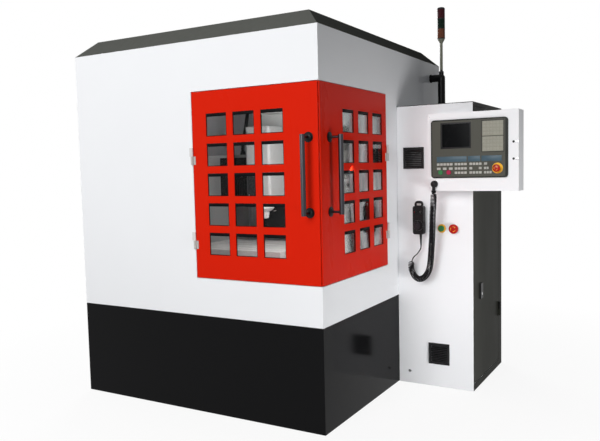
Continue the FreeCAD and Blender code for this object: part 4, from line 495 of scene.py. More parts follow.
# This black rubber also makes the broad top strips of the window frames, which are painted shade.
seal_and_shade_rubber = plastic("seal_and_shade_rubber", (0.004, 0.004, 0.0045), 0.5, grain=700.0, gloss=0.03)
rubber = plastic("rubber", (0.01, 0.01, 0.0105), 0.6, grain=500.0, depth=0.00008, gloss=0.06)
cord_skin = plastic("cord_skin", (0.009, 0.009, 0.01), 0.36, grain=1500.0, depth=0.00001, gloss=0.08)
key_cap = plastic("key_cap", (0.42, 0.42, 0.39), 0.42, grain=1600.0)
keypad_key = plastic("keypad_key", (0.3, 0.3, 0.25), 0.42, grain=1600.0)
blue_band = plastic("blue_band", (0.062, 0.105, 0.135), 0.34, grain=1500.0)
lamp_white = plastic("lamp_white", (0.86, 0.87, 0.84), 0.35, glow=1.6)
print("plastics ready")

# %% [markdown]
# ## Glass, screen and lenses
# The panes are thin clear sheets. Solid glass with refraction would be slow and noisy, and a thin
# sheet bends light so little that a see-through surface with a sharp reflection is truer. The side
# pane mirrors more, and noise lays a painted reflection over it: upright light and dark bands that
# stand in for a room mirrored in it. The lamps' lenses have fine upright ribs that go round the
# tower, so their pattern is a sine of the angle round its middle.

# %% Glass and lenses
GLASS_IOR = 1.45
TOWER = (76, 1592)


def glass(name, tint, clear, roughness):
    """A thin clear sheet: see-through straight on, a sharp reflection at a glance."""
    made = Finish(name, tint, roughness)
    shine = made.node("Fresnel", {}, {"IOR": GLASS_IOR})
    wiped = made.ramp(made.noise(14.0, 6.0, (1, 1, 0.5)), (0.5, 0.0), (0.85, 1.0))
    made.set("Roughness", wiped * 0.12 + roughness)
    made.set("Alpha", shine * 0.9 + wiped * 0.03 + (1 - clear))
    return made


pane = glass("pane", (0.02, 0.023, 0.022), 0.97, 0.03)
side_glass = glass("side_glass", (0.86, 0.88, 0.87), 0.9, 0.06)
# Painted reflection: upright light and dark bands where the side pane mirrors more, which stand in for a
# room mirrored in it.
painted_reflection = side_glass.ramp(side_glass.noise(4.2, 1.5, (1, 1, 0.35)), (0.42, 0.02), (0.6, 0.45))
painted_reflection = painted_reflection * side_glass.ramp(side_glass.noise(38.0, 3.0, (1, 1, 0.3)), (0.3, 0.5), (0.7, 1.0))
side_glass.set("Alpha", painted_reflection + side_glass.node("Fresnel", {}, {"IOR": GLASS_IOR}) * 0.7 + 0.02)
side_glass.set("Metallic", 1.0)
screen = plastic("screen", (0.004, 0.0045, 0.005), 0.12, grain=200.0, depth=0.000002, gloss=0.02)


def lens(name, colour):
    """A tinted lamp lens with fine upright ribs that catch the light."""
    made = Finish(name, colour, 0.16, Specular_IOR_Level=0.02)
    middle = spot(*TOWER, 0)
    angle = made.node("Math", {"operation": "ARCTAN2"}, {0: made.y - middle.y, 1: made.x - middle.x})
    ribs = made.node("Math", {"operation": "SINE"}, {0: angle * 36.0})
    made.set("Base Color", made.between(ribs * 0.5 + 0.5, tuple(c * 0.6 for c in colour), colour))
    made.set("Roughness", made.noise(40.0) * 0.12 + 0.14)
    made.set("Normal", made.bump(ribs, 0.0006, 0.8))
    return made


lamp_red = lens("lamp_red", (0.06, 0.012, 0.016))
lamp_green = lens("lamp_green", (0.006, 0.02, 0.012))
lamp_amber = lens("lamp_amber", (0.16, 0.055, 0.03))
print("glass and lenses ready")

# %% [markdown]
# ## Finishes onto the CAD nodes
# Each CAD node arrives with the plain colour of its slot. It could be modelled again with more
# detail, but its shape is right, so it keeps its mesh and only the material in its slot changes. A
# few nodes share a slot but not a finish, such as the table, whose bright face is scratched. They
# are named in a second list, which overrules the first.

# %% Dress the nodes
SLOTS = {
    "white_paint": white_paint, "red_paint": red_paint, "black_paint": black_paint,
    "roof_paint": roof_paint, "dark_paint": dark_paint, "cast_paint": cast_paint, "cast": cast,
    "steel": steel, "sheet_grey": sheet_grey, "handle_metal": handle_metal, "pane": pane,
    "bellows": rubber, "black_plastic": black_plastic, "bezel": bezel, "screen": screen,
    "keypad": keypad, "collar": collar, "stop_red": stop_red, "start_green": start_green,
    "cord": cord_skin, "lamp_red": lamp_red, "lamp_green": lamp_green, "lamp_amber": lamp_amber,
    "lamp_white": lamp_white,
}
for node in nodes.values():
    for part in node.material_slots:
        part.material = SLOTS[part.material.name.split(".")[0]].material
OWN_FINISH = {
    "panel_hold": hold_red, "cabinet_shell": cabinet_paint, "z_head": head_paint,
    "door_hinges": hinge_paint, "side_pane": side_glass, "tower_pole": pole_paint,
    "work_table": table_top, "cabinet_latch": black_plastic, "spindle_housing": bright_steel,
    "spindle_shaft": bright_steel,
}
for name, finish in OWN_FINISH.items():
    nodes[name].material_slots[0].material = finish.material
for piece in (cord_tail, curly, conduit):
    piece.data.materials.append(cord_skin.material)
print("dressed:", len(nodes), "nodes")

# %% [markdown]
# ## Small tools for modelling
# Most small parts of a machine are rounded plates and turned pieces. They could be written as lists
# of corners, but a few of Blender's own tools are easier to follow. A plate starts as a cube at its
# real place and gets its edges rounded. A turned piece starts as a disc that is extruded and
# resized step by step, as on a lathe. What repeats is modelled once and copied, and a group of
# equal parts is joined into one piece, so that it rides on its body as a whole.

# %% Tools
TO_FRONT, TO_RIGHT, TO_TOP = (0, -1, 0), (1, 0, 0), (0, 0, 1)


def alone(piece):
    """Only this piece is selected and active."""
    bpy.ops.object.select_all(action="DESELECT")
    piece.select_set(True)
    bpy.context.view_layer.objects.active = piece


def soften(piece, rounding, segments=2):
    """Rounds the sharp edges of a piece; the rounding is in millimetres."""
    alone(piece)
    bevel = piece.modifiers.new("rounding", "BEVEL")
    bevel.width, bevel.segments, bevel.angle_limit = rounding / 1000, segments, math.radians(28)
    bpy.ops.object.modifier_apply(modifier="rounding")
    return piece


def block(name, low, high, rounding=1.0):
    """A plate between two places, with its edges rounded."""
    a, b = spot(*low), spot(*high)
    bpy.ops.object.select_all(action="DESELECT")
    bpy.ops.mesh.primitive_cube_add(size=1, location=(a + b) / 2, scale=b - a)
    made = bpy.context.object
    made.name = name
    bpy.ops.object.transform_apply(location=True, rotation=True, scale=True)
    return soften(made, rounding)


def turned(name, foot, way, first, steps, sides=28, rounding=0.0):
    """A piece turned on a lathe: a disc of the first radius, then steps of (distance, radius)."""
    bpy.ops.object.select_all(action="DESELECT")
    bpy.ops.mesh.primitive_circle_add(vertices=sides, radius=first / 1000, fill_type="NGON")
    made = bpy.context.object
    made.name = name
    bpy.ops.object.mode_set(mode="EDIT")
    reached, radius = 0.0, first
    for distance, wide in steps:
        step = (0, 0, (distance - reached) / 1000)
        bpy.ops.mesh.extrude_region_move(TRANSFORM_OT_translate={"value": step})
        bpy.ops.transform.resize(value=(wide / radius, wide / radius, 1))
        reached, radius = distance, wide
    bpy.ops.mesh.select_all(action="SELECT")
    bpy.ops.mesh.normals_make_consistent(inside=False)
    bpy.ops.object.mode_set(mode="OBJECT")
    made.data.transform(Vector(way).to_track_quat("Z", "Y").to_matrix().to_4x4())
    made.data.transform(Matrix.Translation(spot(*foot)))
    return soften(made, rounding) if rounding else made


def joined(name, pieces):
    """One piece out of one or more."""
    alone(pieces[0])
    for piece in pieces:
        piece.select_set(True)
    if len(pieces) > 1:
        bpy.ops.object.join()
    pieces[0].name = name
    return pieces[0]


def repeated(name, piece, offsets):
    """A piece and its copies at offsets in millimetres, joined into one."""
    copies = []
    for offset in offsets:
        copy = piece.copy()
        copy.data = piece.data.copy()
        bpy.context.scene.collection.objects.link(copy)
        copy.data.transform(Matrix.Translation(Vector(offset) / 1000))
        copies.append(copy)
    bpy.data.objects.remove(piece)
    return joined(name, copies)


def spun(piece, middle, turn):
    """Turns a piece round a middle, about the line from front to back."""
    there = Matrix.Translation(spot(*middle))
    piece.data.transform(there @ Matrix.Rotation(turn, 4, "Y") @ there.inverted())
    return piece


def dress(piece, body, finish, smooth=35):
    """Fixes a piece to a body and gives it its finish; smooth is an angle in degrees."""
    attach(piece, body)
    piece.data.materials.clear()
    piece.data.materials.append(finish.material)
    alone(piece)
    bpy.ops.object.shade_smooth_by_angle(angle=math.radians(smooth))
    return piece


def screws(name, body, way, radius, places, finish=steel):
    """Socket screws at listed places, all with the same head."""
    shape = ((0.7, 1.0), (1.0, 0.86), (1.0, 0.5), (0.4, 0.45))
    steps = [(radius * height, radius * wide) for height, wide in shape]
    head = turned(name, (0, 0, 0), way, radius, steps, sides=14)
    return dress(repeated(name, head, places), body, finish)


print("tools ready")

# %% [markdown]
# ## Window seals and shade strips
# Each leaf has fifteen small windows over one sheet of glass. A black rubber frame sits in every
# opening and holds the glass. Its broad top strip is painted shade: a dark sheet that stands in for
# the shade that the leaf's thickness casts at the top of each window. It could be cut out of a
# plate with a Boolean, which leaves untidy faces. So a frame is a plane with an inset: the inner
# face is made lower to leave the broad shade strip, deleted, and the ring gets its thickness from a
# Solidify modifier. One frame is modelled for each leaf and copied to the other windows.

# %% Seals and shade strips
WINDOW_WIDE, WINDOW_TALL, WINDOW_LOW = 131, 119, 871
ROWS, COLUMNS, ROW_RISE = 5, 3, 156.4
# The frames' top run is much broader than the sides: that strip is painted shade under the top of each
# window, and the narrow runs are the rubber seal.
SEAL_EDGE, SEAL_SHADE_TOP, SEAL_THICK, SEAL_PLAY = 3.5, 17, 3.4, 0.6
# The leaf, the middle of its first window, its turn in degrees, and the step to the next column
LEAVES = (
    ("front", (-674 + WINDOW_WIDE / 2, 1.2), 0, (171, 0)),
    ("side", (-1.2, 250 + WINDOW_WIDE / 2), 90, (0, 185.5)),
)


def ring_frame(name, middle, turn, wide, tall, edge, top, thick, rounding=0.5):
    """A flat frame round an opening, broader along its top."""
    bpy.ops.object.select_all(action="DESELECT")
    bpy.ops.mesh.primitive_plane_add(size=1, location=(0, 0, 0))
    made = bpy.context.object
    made.name = name
    made.data.transform(Matrix.Diagonal((wide / 1000, tall / 1000, 1, 1)))
    bpy.ops.object.mode_set(mode="EDIT")
    bpy.ops.mesh.inset(thickness=edge / 1000)
    extra = (top - edge) / 1000
    inner = tall / 1000 - 2 * edge / 1000
    bpy.ops.transform.resize(value=(1, (inner - extra) / inner, 1))
    bpy.ops.transform.translate(value=(0, -extra / 2, 0))
    bpy.ops.mesh.delete(type="ONLY_FACE")
    bpy.ops.object.mode_set(mode="OBJECT")
    wall = made.modifiers.new("wall", "SOLIDIFY")
    wall.thickness, wall.offset = thick / 1000, -1
    bpy.ops.object.modifier_apply(modifier="wall")
    upright = Matrix.Rotation(math.radians(turn), 4, "Z") @ Matrix.Rotation(math.radians(90), 4, "X")
    made.data.transform(Matrix.Translation(spot(*middle)) @ upright)
    return soften(made, rounding)


for leaf, middle, turn, (across, back) in LEAVES:
    seal_and_shade = ring_frame(
        f"{leaf}_seals", (*middle, WINDOW_LOW + WINDOW_TALL / 2), turn, WINDOW_WIDE - SEAL_PLAY,
        WINDOW_TALL - SEAL_PLAY, SEAL_EDGE, SEAL_SHADE_TOP, SEAL_THICK,
    )
    offsets = [(across * c, back * c, ROW_RISE * row) for c in range(COLUMNS) for row in range(ROWS)]
    seals_and_shade = dress(repeated(f"{leaf}_seals", seal_and_shade, offsets), f"{leaf}_leaf", seal_and_shade_rubber)
    print(seals_and_shade.name, len(seals_and_shade.data.polygons), "faces")

# %% [markdown]
# ## Pleated covers
# Pleated covers keep chips off the guides and fold up as the table and the saddle travel. They could
# be a plain box with stripes, but the folds are what one sees. Here the end face of a cover is
# extruded fold by fold and made a little smaller at every second step.

# %% Bellows
PLATE = 3  # thickness of a clamping plate


def pleats(name, low, high, axis, folds, depth, moving, first_at_low):
    """A pleated cover between two places along an axis, from the machine to a moving body."""
    size = [h - l for l, h in zip(low, high)]
    run = size[axis] - 2 * PLATE
    wide, tall = (size[0], size[2]) if axis == 1 else (size[1], size[2])
    bpy.ops.object.select_all(action="DESELECT")
    bpy.ops.mesh.primitive_plane_add(size=1, location=(0, 0, 0))
    made = bpy.context.object
    made.name = name
    made.data.transform(Matrix.Diagonal((wide / 1000, tall / 1000, 1, 1)))
    bpy.ops.object.mode_set(mode="EDIT")
    narrow = ((wide - 2 * depth) / wide, (tall - 2 * depth) / tall)
    step = run / folds / 2000
    for fold in range(folds):
        for across, up in (narrow, (1 / narrow[0], 1 / narrow[1])):
            bpy.ops.mesh.extrude_region_move(TRANSFORM_OT_translate={"value": (0, 0, step)})
            bpy.ops.transform.resize(value=(across, up, 1))
    bpy.ops.mesh.select_all(action="SELECT")
    bpy.ops.mesh.normals_make_consistent(inside=False)
    bpy.ops.object.mode_set(mode="OBJECT")
    columns = ((1, 0, 0), (0, 0, -1), (0, 1, 0)) if axis == 1 else ((0, 1, 0), (0, 0, 1), (1, 0, 0))
    made.data.transform(Matrix(columns).transposed().to_4x4())
    start = [(l + h) / 2 for l, h in zip(low, high)]
    fixed, free = list(start), list(start)
    start[axis] = low[axis] + PLATE
    made.data.transform(Matrix.Translation(spot(*start)))
    soften(made, 0.9, 1)
    fixed_end, moving_end = (low, high) if first_at_low else (high, low)
    fixed[axis], free[axis] = fixed_end[axis], moving_end[axis]
    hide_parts(name.replace("_pleats", "_bellows"))
    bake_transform(made)
    made.data.materials.append(rubber.material)
    ends = {"low": (low[axis], low[axis] + PLATE), "high": (high[axis] - PLATE, high[axis])}
    for end, (near, far) in ends.items():
        a, b = list(low), list(high)
        a[axis], b[axis] = near, far
        body = "machine" if (end == "low") == first_at_low else moving
        dress(block(f"{name}_plate_{end}", a, b, 0.6), body, steel)
    return made


COVERS = (
    ("front_pleats", (-1122, 150, 673), (-502, 400, 780), 1, 13, 15, "table", True),
    ("rear_pleats", (-1122, 840, 673), (-502, 1300, 780), 1, 24, 15, "table", False),
    ("left_pleats", (-1242, 868, 1140), (-900, 916, 1400), 0, 17, 12, "saddle", True),
    ("right_pleats", (-640, 868, 1140), (-382, 916, 1400), 0, 13, 12, "saddle", False),
)
for cover in COVERS:
    made = pleats(*cover)
    print(made.name, len(made.data.polygons), "faces")

# %% [markdown]
# ## The cord's boot
# A moulded rubber boot protects the curly cord where it enters the operator box. It has a few round
# ribs that let it bend without kinking. A cone with ribs painted on would have a straight outline,
# so it is turned in steps, ridge after ridge.

# %% Boot
BOOT_TOP = (272, 844, 1175.4)
RIBS = [
    (1.5, 15), (2.5, 12.8), (4.0, 12.8), (5.0, 14.0), (6.4, 14.0), (7.4, 11.8), (8.8, 11.8),
    (9.8, 12.8), (11.2, 12.8), (12.2, 10.6), (13.6, 10.6), (14.6, 11.2), (16.6, 9.8),
]
cord_boot = turned("cord_boot", BOOT_TOP, (0, 0, -1), 15, RIBS, sides=32, rounding=0.35)
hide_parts("coil_boot")
dress(cord_boot, "machine", rubber)
length_of(helix)
print("boot:", len(cord_boot.data.polygons), "faces")

# %% [markdown]
# ## The operator panel
# The controller's front is a moulded frame with a sunk screen, rows of small raised keys, a blue
# band above them and two keypads. The keys could be a bump on the frame, but real edges catch the
# light as the real ones do. A key is a plate with rounded edges, modelled once for each width and
# copied along its row.

# %% Keys and bands
FACE = 851
KEY_TALL = 12.8
TOP_ROW, MIDDLE_ROW, LOW_ROW = 1321.5, 1297.5, 1274
GAP = 3.2


def key_row(name, left, right, count, z, gap, finish, tall=KEY_TALL, proud=1.4, face=FACE):
    """A row of equal keys between two edges of the panel."""
    pitch = (right - left + gap) / count
    low, high = (left, face - proud, z - tall / 2), (left + pitch - gap, face + 0.4, z + tall / 2)
    keys = repeated(name, block(name, low, high, 0.9), [(pitch * i, 0, 0) for i in range(count)])
    return dress(keys, "machine", finish)


KEY_ROWS = (
    ("keys_a1", 290, 380, 5, TOP_ROW, GAP), ("keys_a2", 290, 380, 3, MIDDLE_ROW, 14),
    ("keys_b1", 392, 460, 4, TOP_ROW, GAP), ("keys_b2", 392, 460, 4, MIDDLE_ROW, GAP),
    ("keys_b3", 392, 460, 4, LOW_ROW, GAP), ("keys_c1", 475, 542, 4, TOP_ROW, GAP),
    ("keys_c2", 475, 542, 2, MIDDLE_ROW, 36), ("keys_c3", 475, 542, 4, LOW_ROW, GAP),
    ("keys_d1", 555, 572, 1, TOP_ROW, GAP), ("keys_d2", 555, 580, 2, MIDDLE_ROW, GAP),
    ("keys_d3", 555, 596, 3, LOW_ROW, GAP),
)
for row in KEY_ROWS:
    key_row(*row, key_cap)
for half, first_row in (("lower", 1401), ("upper", 1485)):
    for line in range(4):
        height = first_row + 19 * line
        key_row(f"pad_{half}_{line}", 550, 655, 6, height, 3.4, keypad_key, tall=15, proud=1.0, face=849)
for i, (left, right) in enumerate(((289, 459), (465, 534), (541, 650))):
    band = block(f"blue_band_{i}", (left, FACE - 0.7, 1334), (right, FACE + 0.3, 1365), 0.5)
    dress(band, "machine", blue_band)
print("key rows:", len(KEY_ROWS) + 8)

# %% [markdown]
# A thin black gasket closes the gap round the screen and round the keypads, and the frame and its
# box are held by small screws. At the box's right edge two round locks with a steel tab keep it
# shut. The gaskets could be painted lines, but they stand a little proud, so they are the same
# kind of inset plane as the window seals. The locks are turned pieces, made once and copied up.

# %% Gaskets, screws and locks
BOX_FACE = 859
LOCK_SHIFTS = [(0, 0, 0), (0, 0, 91)]
screen_frame = ring_frame("screen_frame", (398, 850.2, 1480), 0, 172, 144, 8, 8, 1.0)
dress(screen_frame, "machine", black_plastic)
pad_frame = ring_frame("pad_frame", (602.5, 850.4, 1470), 0, 121, 172, 4, 4, 0.8)
dress(pad_frame, "machine", black_plastic)
corners = [(x, FACE, z) for x in (264, 662) for z in (1253, 1561)]
screws("bezel_screws", "machine", TO_FRONT, 3.0, corners, black_plastic)
screws("cover_screws", "machine", TO_FRONT, 3.0, [(246, BOX_FACE, 1590), (246, BOX_FACE, 1190)])
lock_steps = [(1.6, 6.2), (1.6, 2.5), (0.8, 2.2)]
lock = turned("box_locks", (711, BOX_FACE, 1344), TO_FRONT, 6.5, lock_steps, sides=24, rounding=0.3)
dress(repeated("box_locks", lock, LOCK_SHIFTS), "machine", black_plastic)
tab = block("box_tabs", (719, BOX_FACE - 1.4, 1339), (737.5, BOX_FACE + 0.4, 1349), 0.6)
dress(repeated("box_tabs", tab, LOCK_SHIFTS), "machine", steel)
print("panel dressed")

# %% [markdown]
# ## The hand pendant
# The pendant is a moulded case with a big dial, two small knobs and rubber grips along its sides.
# Fine scale lines round the dial tell the operator how far the axis has moved. They could be a
# striped colour, but they are printed thick enough to stand proud, so they are thin bars, each
# turned round the dial's middle, every fifth one longer.

# %% Pendant
DIAL_X, CASE_FRONT, DIAL_Z = 155, 905, 969
LINES = 50
lines = []
for i in range(LINES):
    inner = 28.9 if i % 5 else 28.0
    low, high = (DIAL_X - 0.3, 904.5, DIAL_Z + inner), (DIAL_X + 0.3, 905.2, DIAL_Z + 31.6)
    turn = 2 * math.pi * i / LINES
    lines.append(spun(block("line", low, high, 0.1), (DIAL_X, CASE_FRONT, DIAL_Z), turn))
dress(joined("dial_lines", lines), "machine", key_cap)
hub_steps = [(0.5, 20.6), (0.5, 8), (-0.2, 7.6), (-0.2, 3), (0.4, 2.6)]
hub = turned("dial_hub", (DIAL_X, 881.6, DIAL_Z), TO_FRONT, 21, hub_steps, sides=40)
dress(hub, "handwheel", handle_metal)
crank_steps = [(1.0, 4.2), (3.0, 3.4), (8.0, 4.2), (10.5, 4.4), (11.6, 3.4)]
crank = turned("dial_grip", (DIAL_X, 881.8, DIAL_Z + 14), TO_FRONT, 4.6, crank_steps, sides=20)
dress(crank, "handwheel", black_plastic)
for knob, x, finish in (("axis", 138, stop_red), ("factor", 172, key_cap)):
    mark = block(f"{knob}_mark", (x - 0.7, 890.1, 1045), (x + 0.7, 890.8, 1054), 0.3)
    dress(mark, f"{knob}_knob", finish)
grip = block("pendant_grips", (120.6, 912, 930), (122.6, 934, 934), 0.8)
sides = [(shift, 0, 9 * i) for shift in (0, 66.8) for i in range(8)]
dress(repeated("pendant_grips", grip, sides), "machine", rubber)
case_screws = [(x, CASE_FRONT, z) for z in (1076, 924) for x in (127, 183)]
screws("case_screws", "machine", TO_FRONT, 2.2, case_screws, black_plastic)
print("pendant dressed")

# %% [markdown]
# The two mushroom buttons are released by a twist, which short curved arrows show. An arrow could
# be a curve with a profile, but four short bars side by side, each turned a little further round
# the button's middle and the last one taller, read as an arrow at this size.

# %% Twist arrows
def twist_arrows(name, middle, radius, body, finish):
    """Three curved arrows round the middle of a button's face."""
    x, y, z = middle
    bars = []
    for arrow in range(3):
        for part in range(4):
            half_wide, half_tall = radius * 0.17, 1.1 if part < 3 else 2.1
            low = (x - half_wide, y - 0.5, z + radius - half_tall)
            high = (x + half_wide, y + 0.5, z + radius + half_tall)
            bars.append(spun(block("bar", low, high, 0.3), middle, math.radians(120 * arrow + 17 * part)))
    return dress(joined(name, bars), body, finish)


twist_arrows("cabinet_stop_arrows", (350, 946.3, 949), 14, "cabinet_stop", collar)
twist_arrows("panel_stop_arrows", (628, 813.3, 1296), 10, "panel_stop", collar)
print("arrows done")

# %% [markdown]
# ## Head, motor and lamp
# Behind the windows the head carries the spindle, with a finned servo motor on top of its saddle.
# Cooling fins are thin plates round the motor's case. They could be cut into it, but one plate
# copied upwards looks the same. The spindle's nose is bolted on with a ring of socket screws, which
# is what a visitor sees through the glass, in front of a dark rubber cover on the wall behind it.

# %% Head details
NOSE_X, NOSE_Y = -770, 700
fin = block("motor_fins", (-811, 758, 1702), (-729, 848, 1704.6), 0.8)
fins = repeated("motor_fins", fin, [(0, 0, 10.5 * i) for i in range(10)])
dress(fins, "saddle", black_plastic)
ring = [2 * math.pi * i / 8 for i in range(8)]
nose = [(NOSE_X + 63 * math.cos(a), NOSE_Y + 63 * math.sin(a), 1060) for a in ring]
screws("nose_screws", "head", (0, 0, -1), 4.5, nose)
lip_steps = [(1.5, 33), (1.5, 26), (0.2, 25.6)]
nose_lip = turned("nose_lip", (NOSE_X, NOSE_Y, 1059.8), (0, 0, -1), 34, lip_steps, sides=48, rounding=0.3)
dress(nose_lip, "head", steel)
head_screws = [(x, 619.8, z) for x in (-835, -705) for z in (1160, 1545)]
screws("head_screws", "head", TO_FRONT, 4.0, head_screws)
motor_screws = [(x, y, 1696) for x in (-806, -734) for y in (762, 844)]
screws("motor_screws", "saddle", TO_TOP, 3.2, motor_screws)
way_cover = block("way_cover", (-985, 945.5, 880), (-640, 950, 1104), 1.5)
dress(way_cover, "machine", rubber)
print("head dressed")

# %% [markdown]
# The work lamp is a long tube under the roof's front. Black caps close its two ends, and thin wires
# round it keep a dropped tool off the glass. A wire cage could be a Wireframe modifier, but these
# are ten plain hoops, so one is a narrow block copied along the lamp.

# %% Work lamp
for name, low, high in (("left", -1123, -1108), ("right", -516, -501)):
    cap = block(f"lamp_cap_{name}", (low, 225.5, 1929.5), (high, 274.5, 1962), 3)
    dress(cap, "machine", black_plastic)
guard = block("lamp_wires", (-1090, 226, 1928.6), (-1088, 274, 1931), 0.4)
dress(repeated("lamp_wires", guard, [(62 * i, 0, 0) for i in range(10)]), "machine", steel)
print("lamp dressed")

# %% [markdown]
# ## The signal tower
# Three lenses are stacked on a thin pole. Black rings part them, a black cap closes the top, and a
# hexagonal nut holds the pole's foot, which gives the tower its banded look from afar. Dark stripes
# in the lenses' colour would stay flush, so the rings are turned like the real ones, slightly wider
# than the lenses.

# %% Tower
RING_STEPS = [(0.2, 25.6), (5.0, 25.6), (5.4, 22)]
TOWER_PARTS = (
    ("tower_ring_0", 2153, 22, RING_STEPS, 40, 0),
    ("tower_ring_1", 2217, 22, RING_STEPS, 40, 0),
    ("tower_ring_2", 2281, 22, RING_STEPS, 40, 0),
    ("tower_cap", 2344, 24, [(0.2, 25.7), (6, 25.7), (12, 21.5), (14.6, 12)], 40, 0.5),
    ("pole_nut", 1930, 15, [(1, 16), (10, 16), (11, 15), (11, 10)], 6, 0.5),
)
for name, z, first, steps, sides, rounding in TOWER_PARTS:
    part = turned(name, (*TOWER, z), TO_TOP, first, steps, sides, rounding)
    dress(part, "machine", black_plastic)
print("tower dressed")

# %% [markdown]
# ## Doors and cabinet
# Each foot of the bar handles ends in a raised washer, and the cabinet's latch has a key hole. A
# bump could hint at them, but they are looked at from close by when a door is opened, so they are
# turned pieces, and each rides on the leaf or the flap that it belongs to.

# %% Handles and latch
HANDLE_FEET = (1102, 1468)
washer_steps = [(2, 16), (4, 11)]
for leaf, foot, way in (("front", (-60, -5.8), TO_FRONT), ("side", (5.8, 101), TO_RIGHT)):
    for z in HANDLE_FEET:
        washer = turned(f"{leaf}_washer_{z}", (*foot, z), way, 17, washer_steps, sides=32, rounding=0.5)
        dress(washer, f"{leaf}_leaf", black_plastic)
key_steps = [(1.2, 7.6), (1.2, 3), (0.4, 2.8)]
lock = turned("latch_lock", (470, 1124, 552), TO_RIGHT, 8, key_steps, sides=28, rounding=0.2)
dress(lock, "latch", steel)
print("handles and latch dressed")

# %% [markdown]
# The back and left walls are bolted to the frame along their upper and lower edges. The flat heads
# could be dots of colour, but then they would cast no shadow. The same screw is used everywhere,
# sunk until its head stands less than a millimetre proud, and each side gets one joined piece.

# %% Screws on the walls
EDGES = (560, 1975)
back_screws = [(-1590 + 222.3 * i, 1767.4, z) for i in range(8) for z in EDGES]
screws("back_screws", "machine", (0, 1, 0), 4.5, back_screws)
left_screws = [(-1620.4, 40 + 241.5 * i, z) for i in range(8) for z in EDGES]
screws("left_screws", "machine", (-1, 0, 0), 4.5, left_screws)
print("wall screws:", len(back_screws) + len(left_screws))

# %% [markdown]
# ## Light and background
# The machine stands in a plain pale studio. One strong lamp would leave black shadows, so several
# soft ones share the work. A large one in front lights the front wall, one at the left fills its
# shadows, and one behind at the left lights the back and the roof. A small one low at the right
# keeps the black skirt readable, a weak one inside the enclosure lights what shows through the
# windows, and the sky fills the rest. The background is white because the world shows white to the
# camera and to mirrors, and not because more light falls on the machine.

# %% Studio
# The name, the place and the aim in the frame, the size in metres, the watts, the spread in degrees
LAMPS = (
    ("key_lamp", (0.3, -6.4, 3.0), (-0.1, -0.8, 1.0), 3.0, 310, 180),
    ("low_lamp", (2.7, -1.2, 0.4), (0.44, -0.2, 0.6), 0.7, 12, 100),
    ("fill_lamp", (-6.0, -3.0, 2.5), (-0.6, -0.5, 1.0), 3.0, 110, 180),
    ("back_lamp", (-4.2, 5.4, 3.2), (-0.6, 0.6, 1.1), 3.0, 360, 180),
    ("inner_lamp", (0.25, -0.6, 1.45), (-0.35, -0.15, 0.9), 0.4, 11, 180),
)
SKY = 0.045
SKY_COLOUR, WHITE_LIGHT = (0.9, 0.95, 1, 1), (1, 1, 1, 1)


def area_lamp(name, place, aim, size, watts, spread):
    """A square soft lamp; only the large ones show in mirrors."""
    lamp = bpy.data.objects.new(name, bpy.data.lights.new(name, "AREA"))
    bpy.context.scene.collection.objects.link(lamp)
    lamp.data.size, lamp.data.energy, lamp.data.spread = size, watts, math.radians(spread)
    lamp.visible_camera, lamp.visible_glossy = False, size > 1
    aimed = (Vector(aim) - Vector(place)).to_track_quat("-Z", "Y").to_matrix().to_4x4()
    lamp.matrix_world = Matrix.Translation(place) @ aimed
    return lamp


for lamp in LAMPS:
    area_lamp(*lamp)
world = bpy.data.worlds.new("studio")
bpy.context.scene.world = world
world.use_nodes = True
sky = world.node_tree
sky.nodes.clear()
lights = []
for colour, strength in ((SKY_COLOUR, SKY), (WHITE_LIGHT, 1.0)):
    light = sky.nodes.new("ShaderNodeBackground")
    light.inputs["Color"].default_value, light.inputs["Strength"].default_value = colour, strength
    lights.append(light)
mix = sky.nodes.new("ShaderNodeMixShader")
out = sky.nodes.new("ShaderNodeOutputWorld")


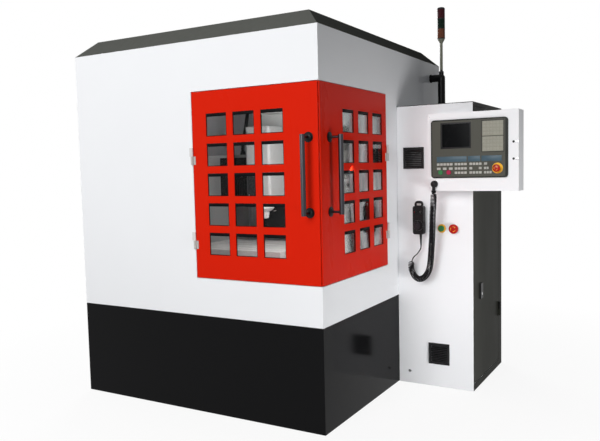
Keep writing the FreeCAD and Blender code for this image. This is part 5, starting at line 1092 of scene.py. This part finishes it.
def pale_rays(tree):
    """1 for the rays that see the background: the camera's, and those in mirrors and glass."""
    rays = tree.nodes.new("ShaderNodeLightPath")
    seen = rays.outputs["Is Camera Ray"]
    for kind in ("Is Glossy Ray", "Is Transmission Ray"):
        either = tree.nodes.new("ShaderNodeMath")
        either.operation = "MAXIMUM"
        tree.links.new(seen, either.inputs[0])
        tree.links.new(rays.outputs[kind], either.inputs[1])
        seen = either.outputs[0]
    return seen


sources = (pale_rays(sky), lights[0].outputs[0], lights[1].outputs[0])
for socket, source in zip(mix.inputs, sources):
    sky.links.new(source, socket)
sky.links.new(mix.outputs[0], out.inputs[0])
print("lamps:", len(LAMPS))

# %% [markdown]
# The floor catches a faint shadow near the machine and turns into the white background further
# away. A white plane alone would show its horizon as a grey line, and a plane without a shadow
# would leave the machine floating. So its material goes over from lit paint to plain white with
# the distance from the machine, for the rays that see the background only. For the light that it
# throws back on the machine it is a darker grey, because a real floor is.

# %% Floor
FLOOR_SIZE = 60
FLOOR_DARK, FLOOR_SEEN = (0.2, 0.2, 0.2), (0.85, 0.85, 0.85)
FADE_RANGE = 5  # metres; the ramp's stops are shares of it
bpy.ops.object.select_all(action="DESELECT")
bpy.ops.mesh.primitive_plane_add(size=FLOOR_SIZE, location=(0, 0, 0))
floor = bpy.context.object
floor.name = "floor"
concrete = Finish("floor_paint", (0.8, 0.8, 0.8), 0.7)
seen = Field(concrete, pale_rays(concrete.tree))
concrete.set("Base Color", concrete.between(seen, FLOOR_DARK, FLOOR_SEEN))
concrete.set("Roughness", concrete.noise(3.0) * 0.2 + 0.6)
concrete.set("Specular IOR Level", 0.0)
away = concrete.node("VectorMath", {"operation": "LENGTH"}, {0: concrete.place}, 1)
far = concrete.ramp(away * (1 / FADE_RANGE), (0.2, 0.9), (0.6, 1.0))
glow = concrete.tree.nodes.new("ShaderNodeEmission")
blend = concrete.tree.nodes.new("ShaderNodeMixShader")
concrete.tree.links.new((far * seen).socket, blend.inputs[0])
concrete.tree.links.new(concrete.shader.outputs[0], blend.inputs[1])
concrete.tree.links.new(glow.outputs[0], blend.inputs[2])
concrete.tree.links.new(blend.outputs[0], concrete.tree.nodes["Material Output"].inputs[0])
floor.data.materials.append(concrete.material)
bpy.context.scene.view_settings.view_transform = "Standard"
print("studio ready")
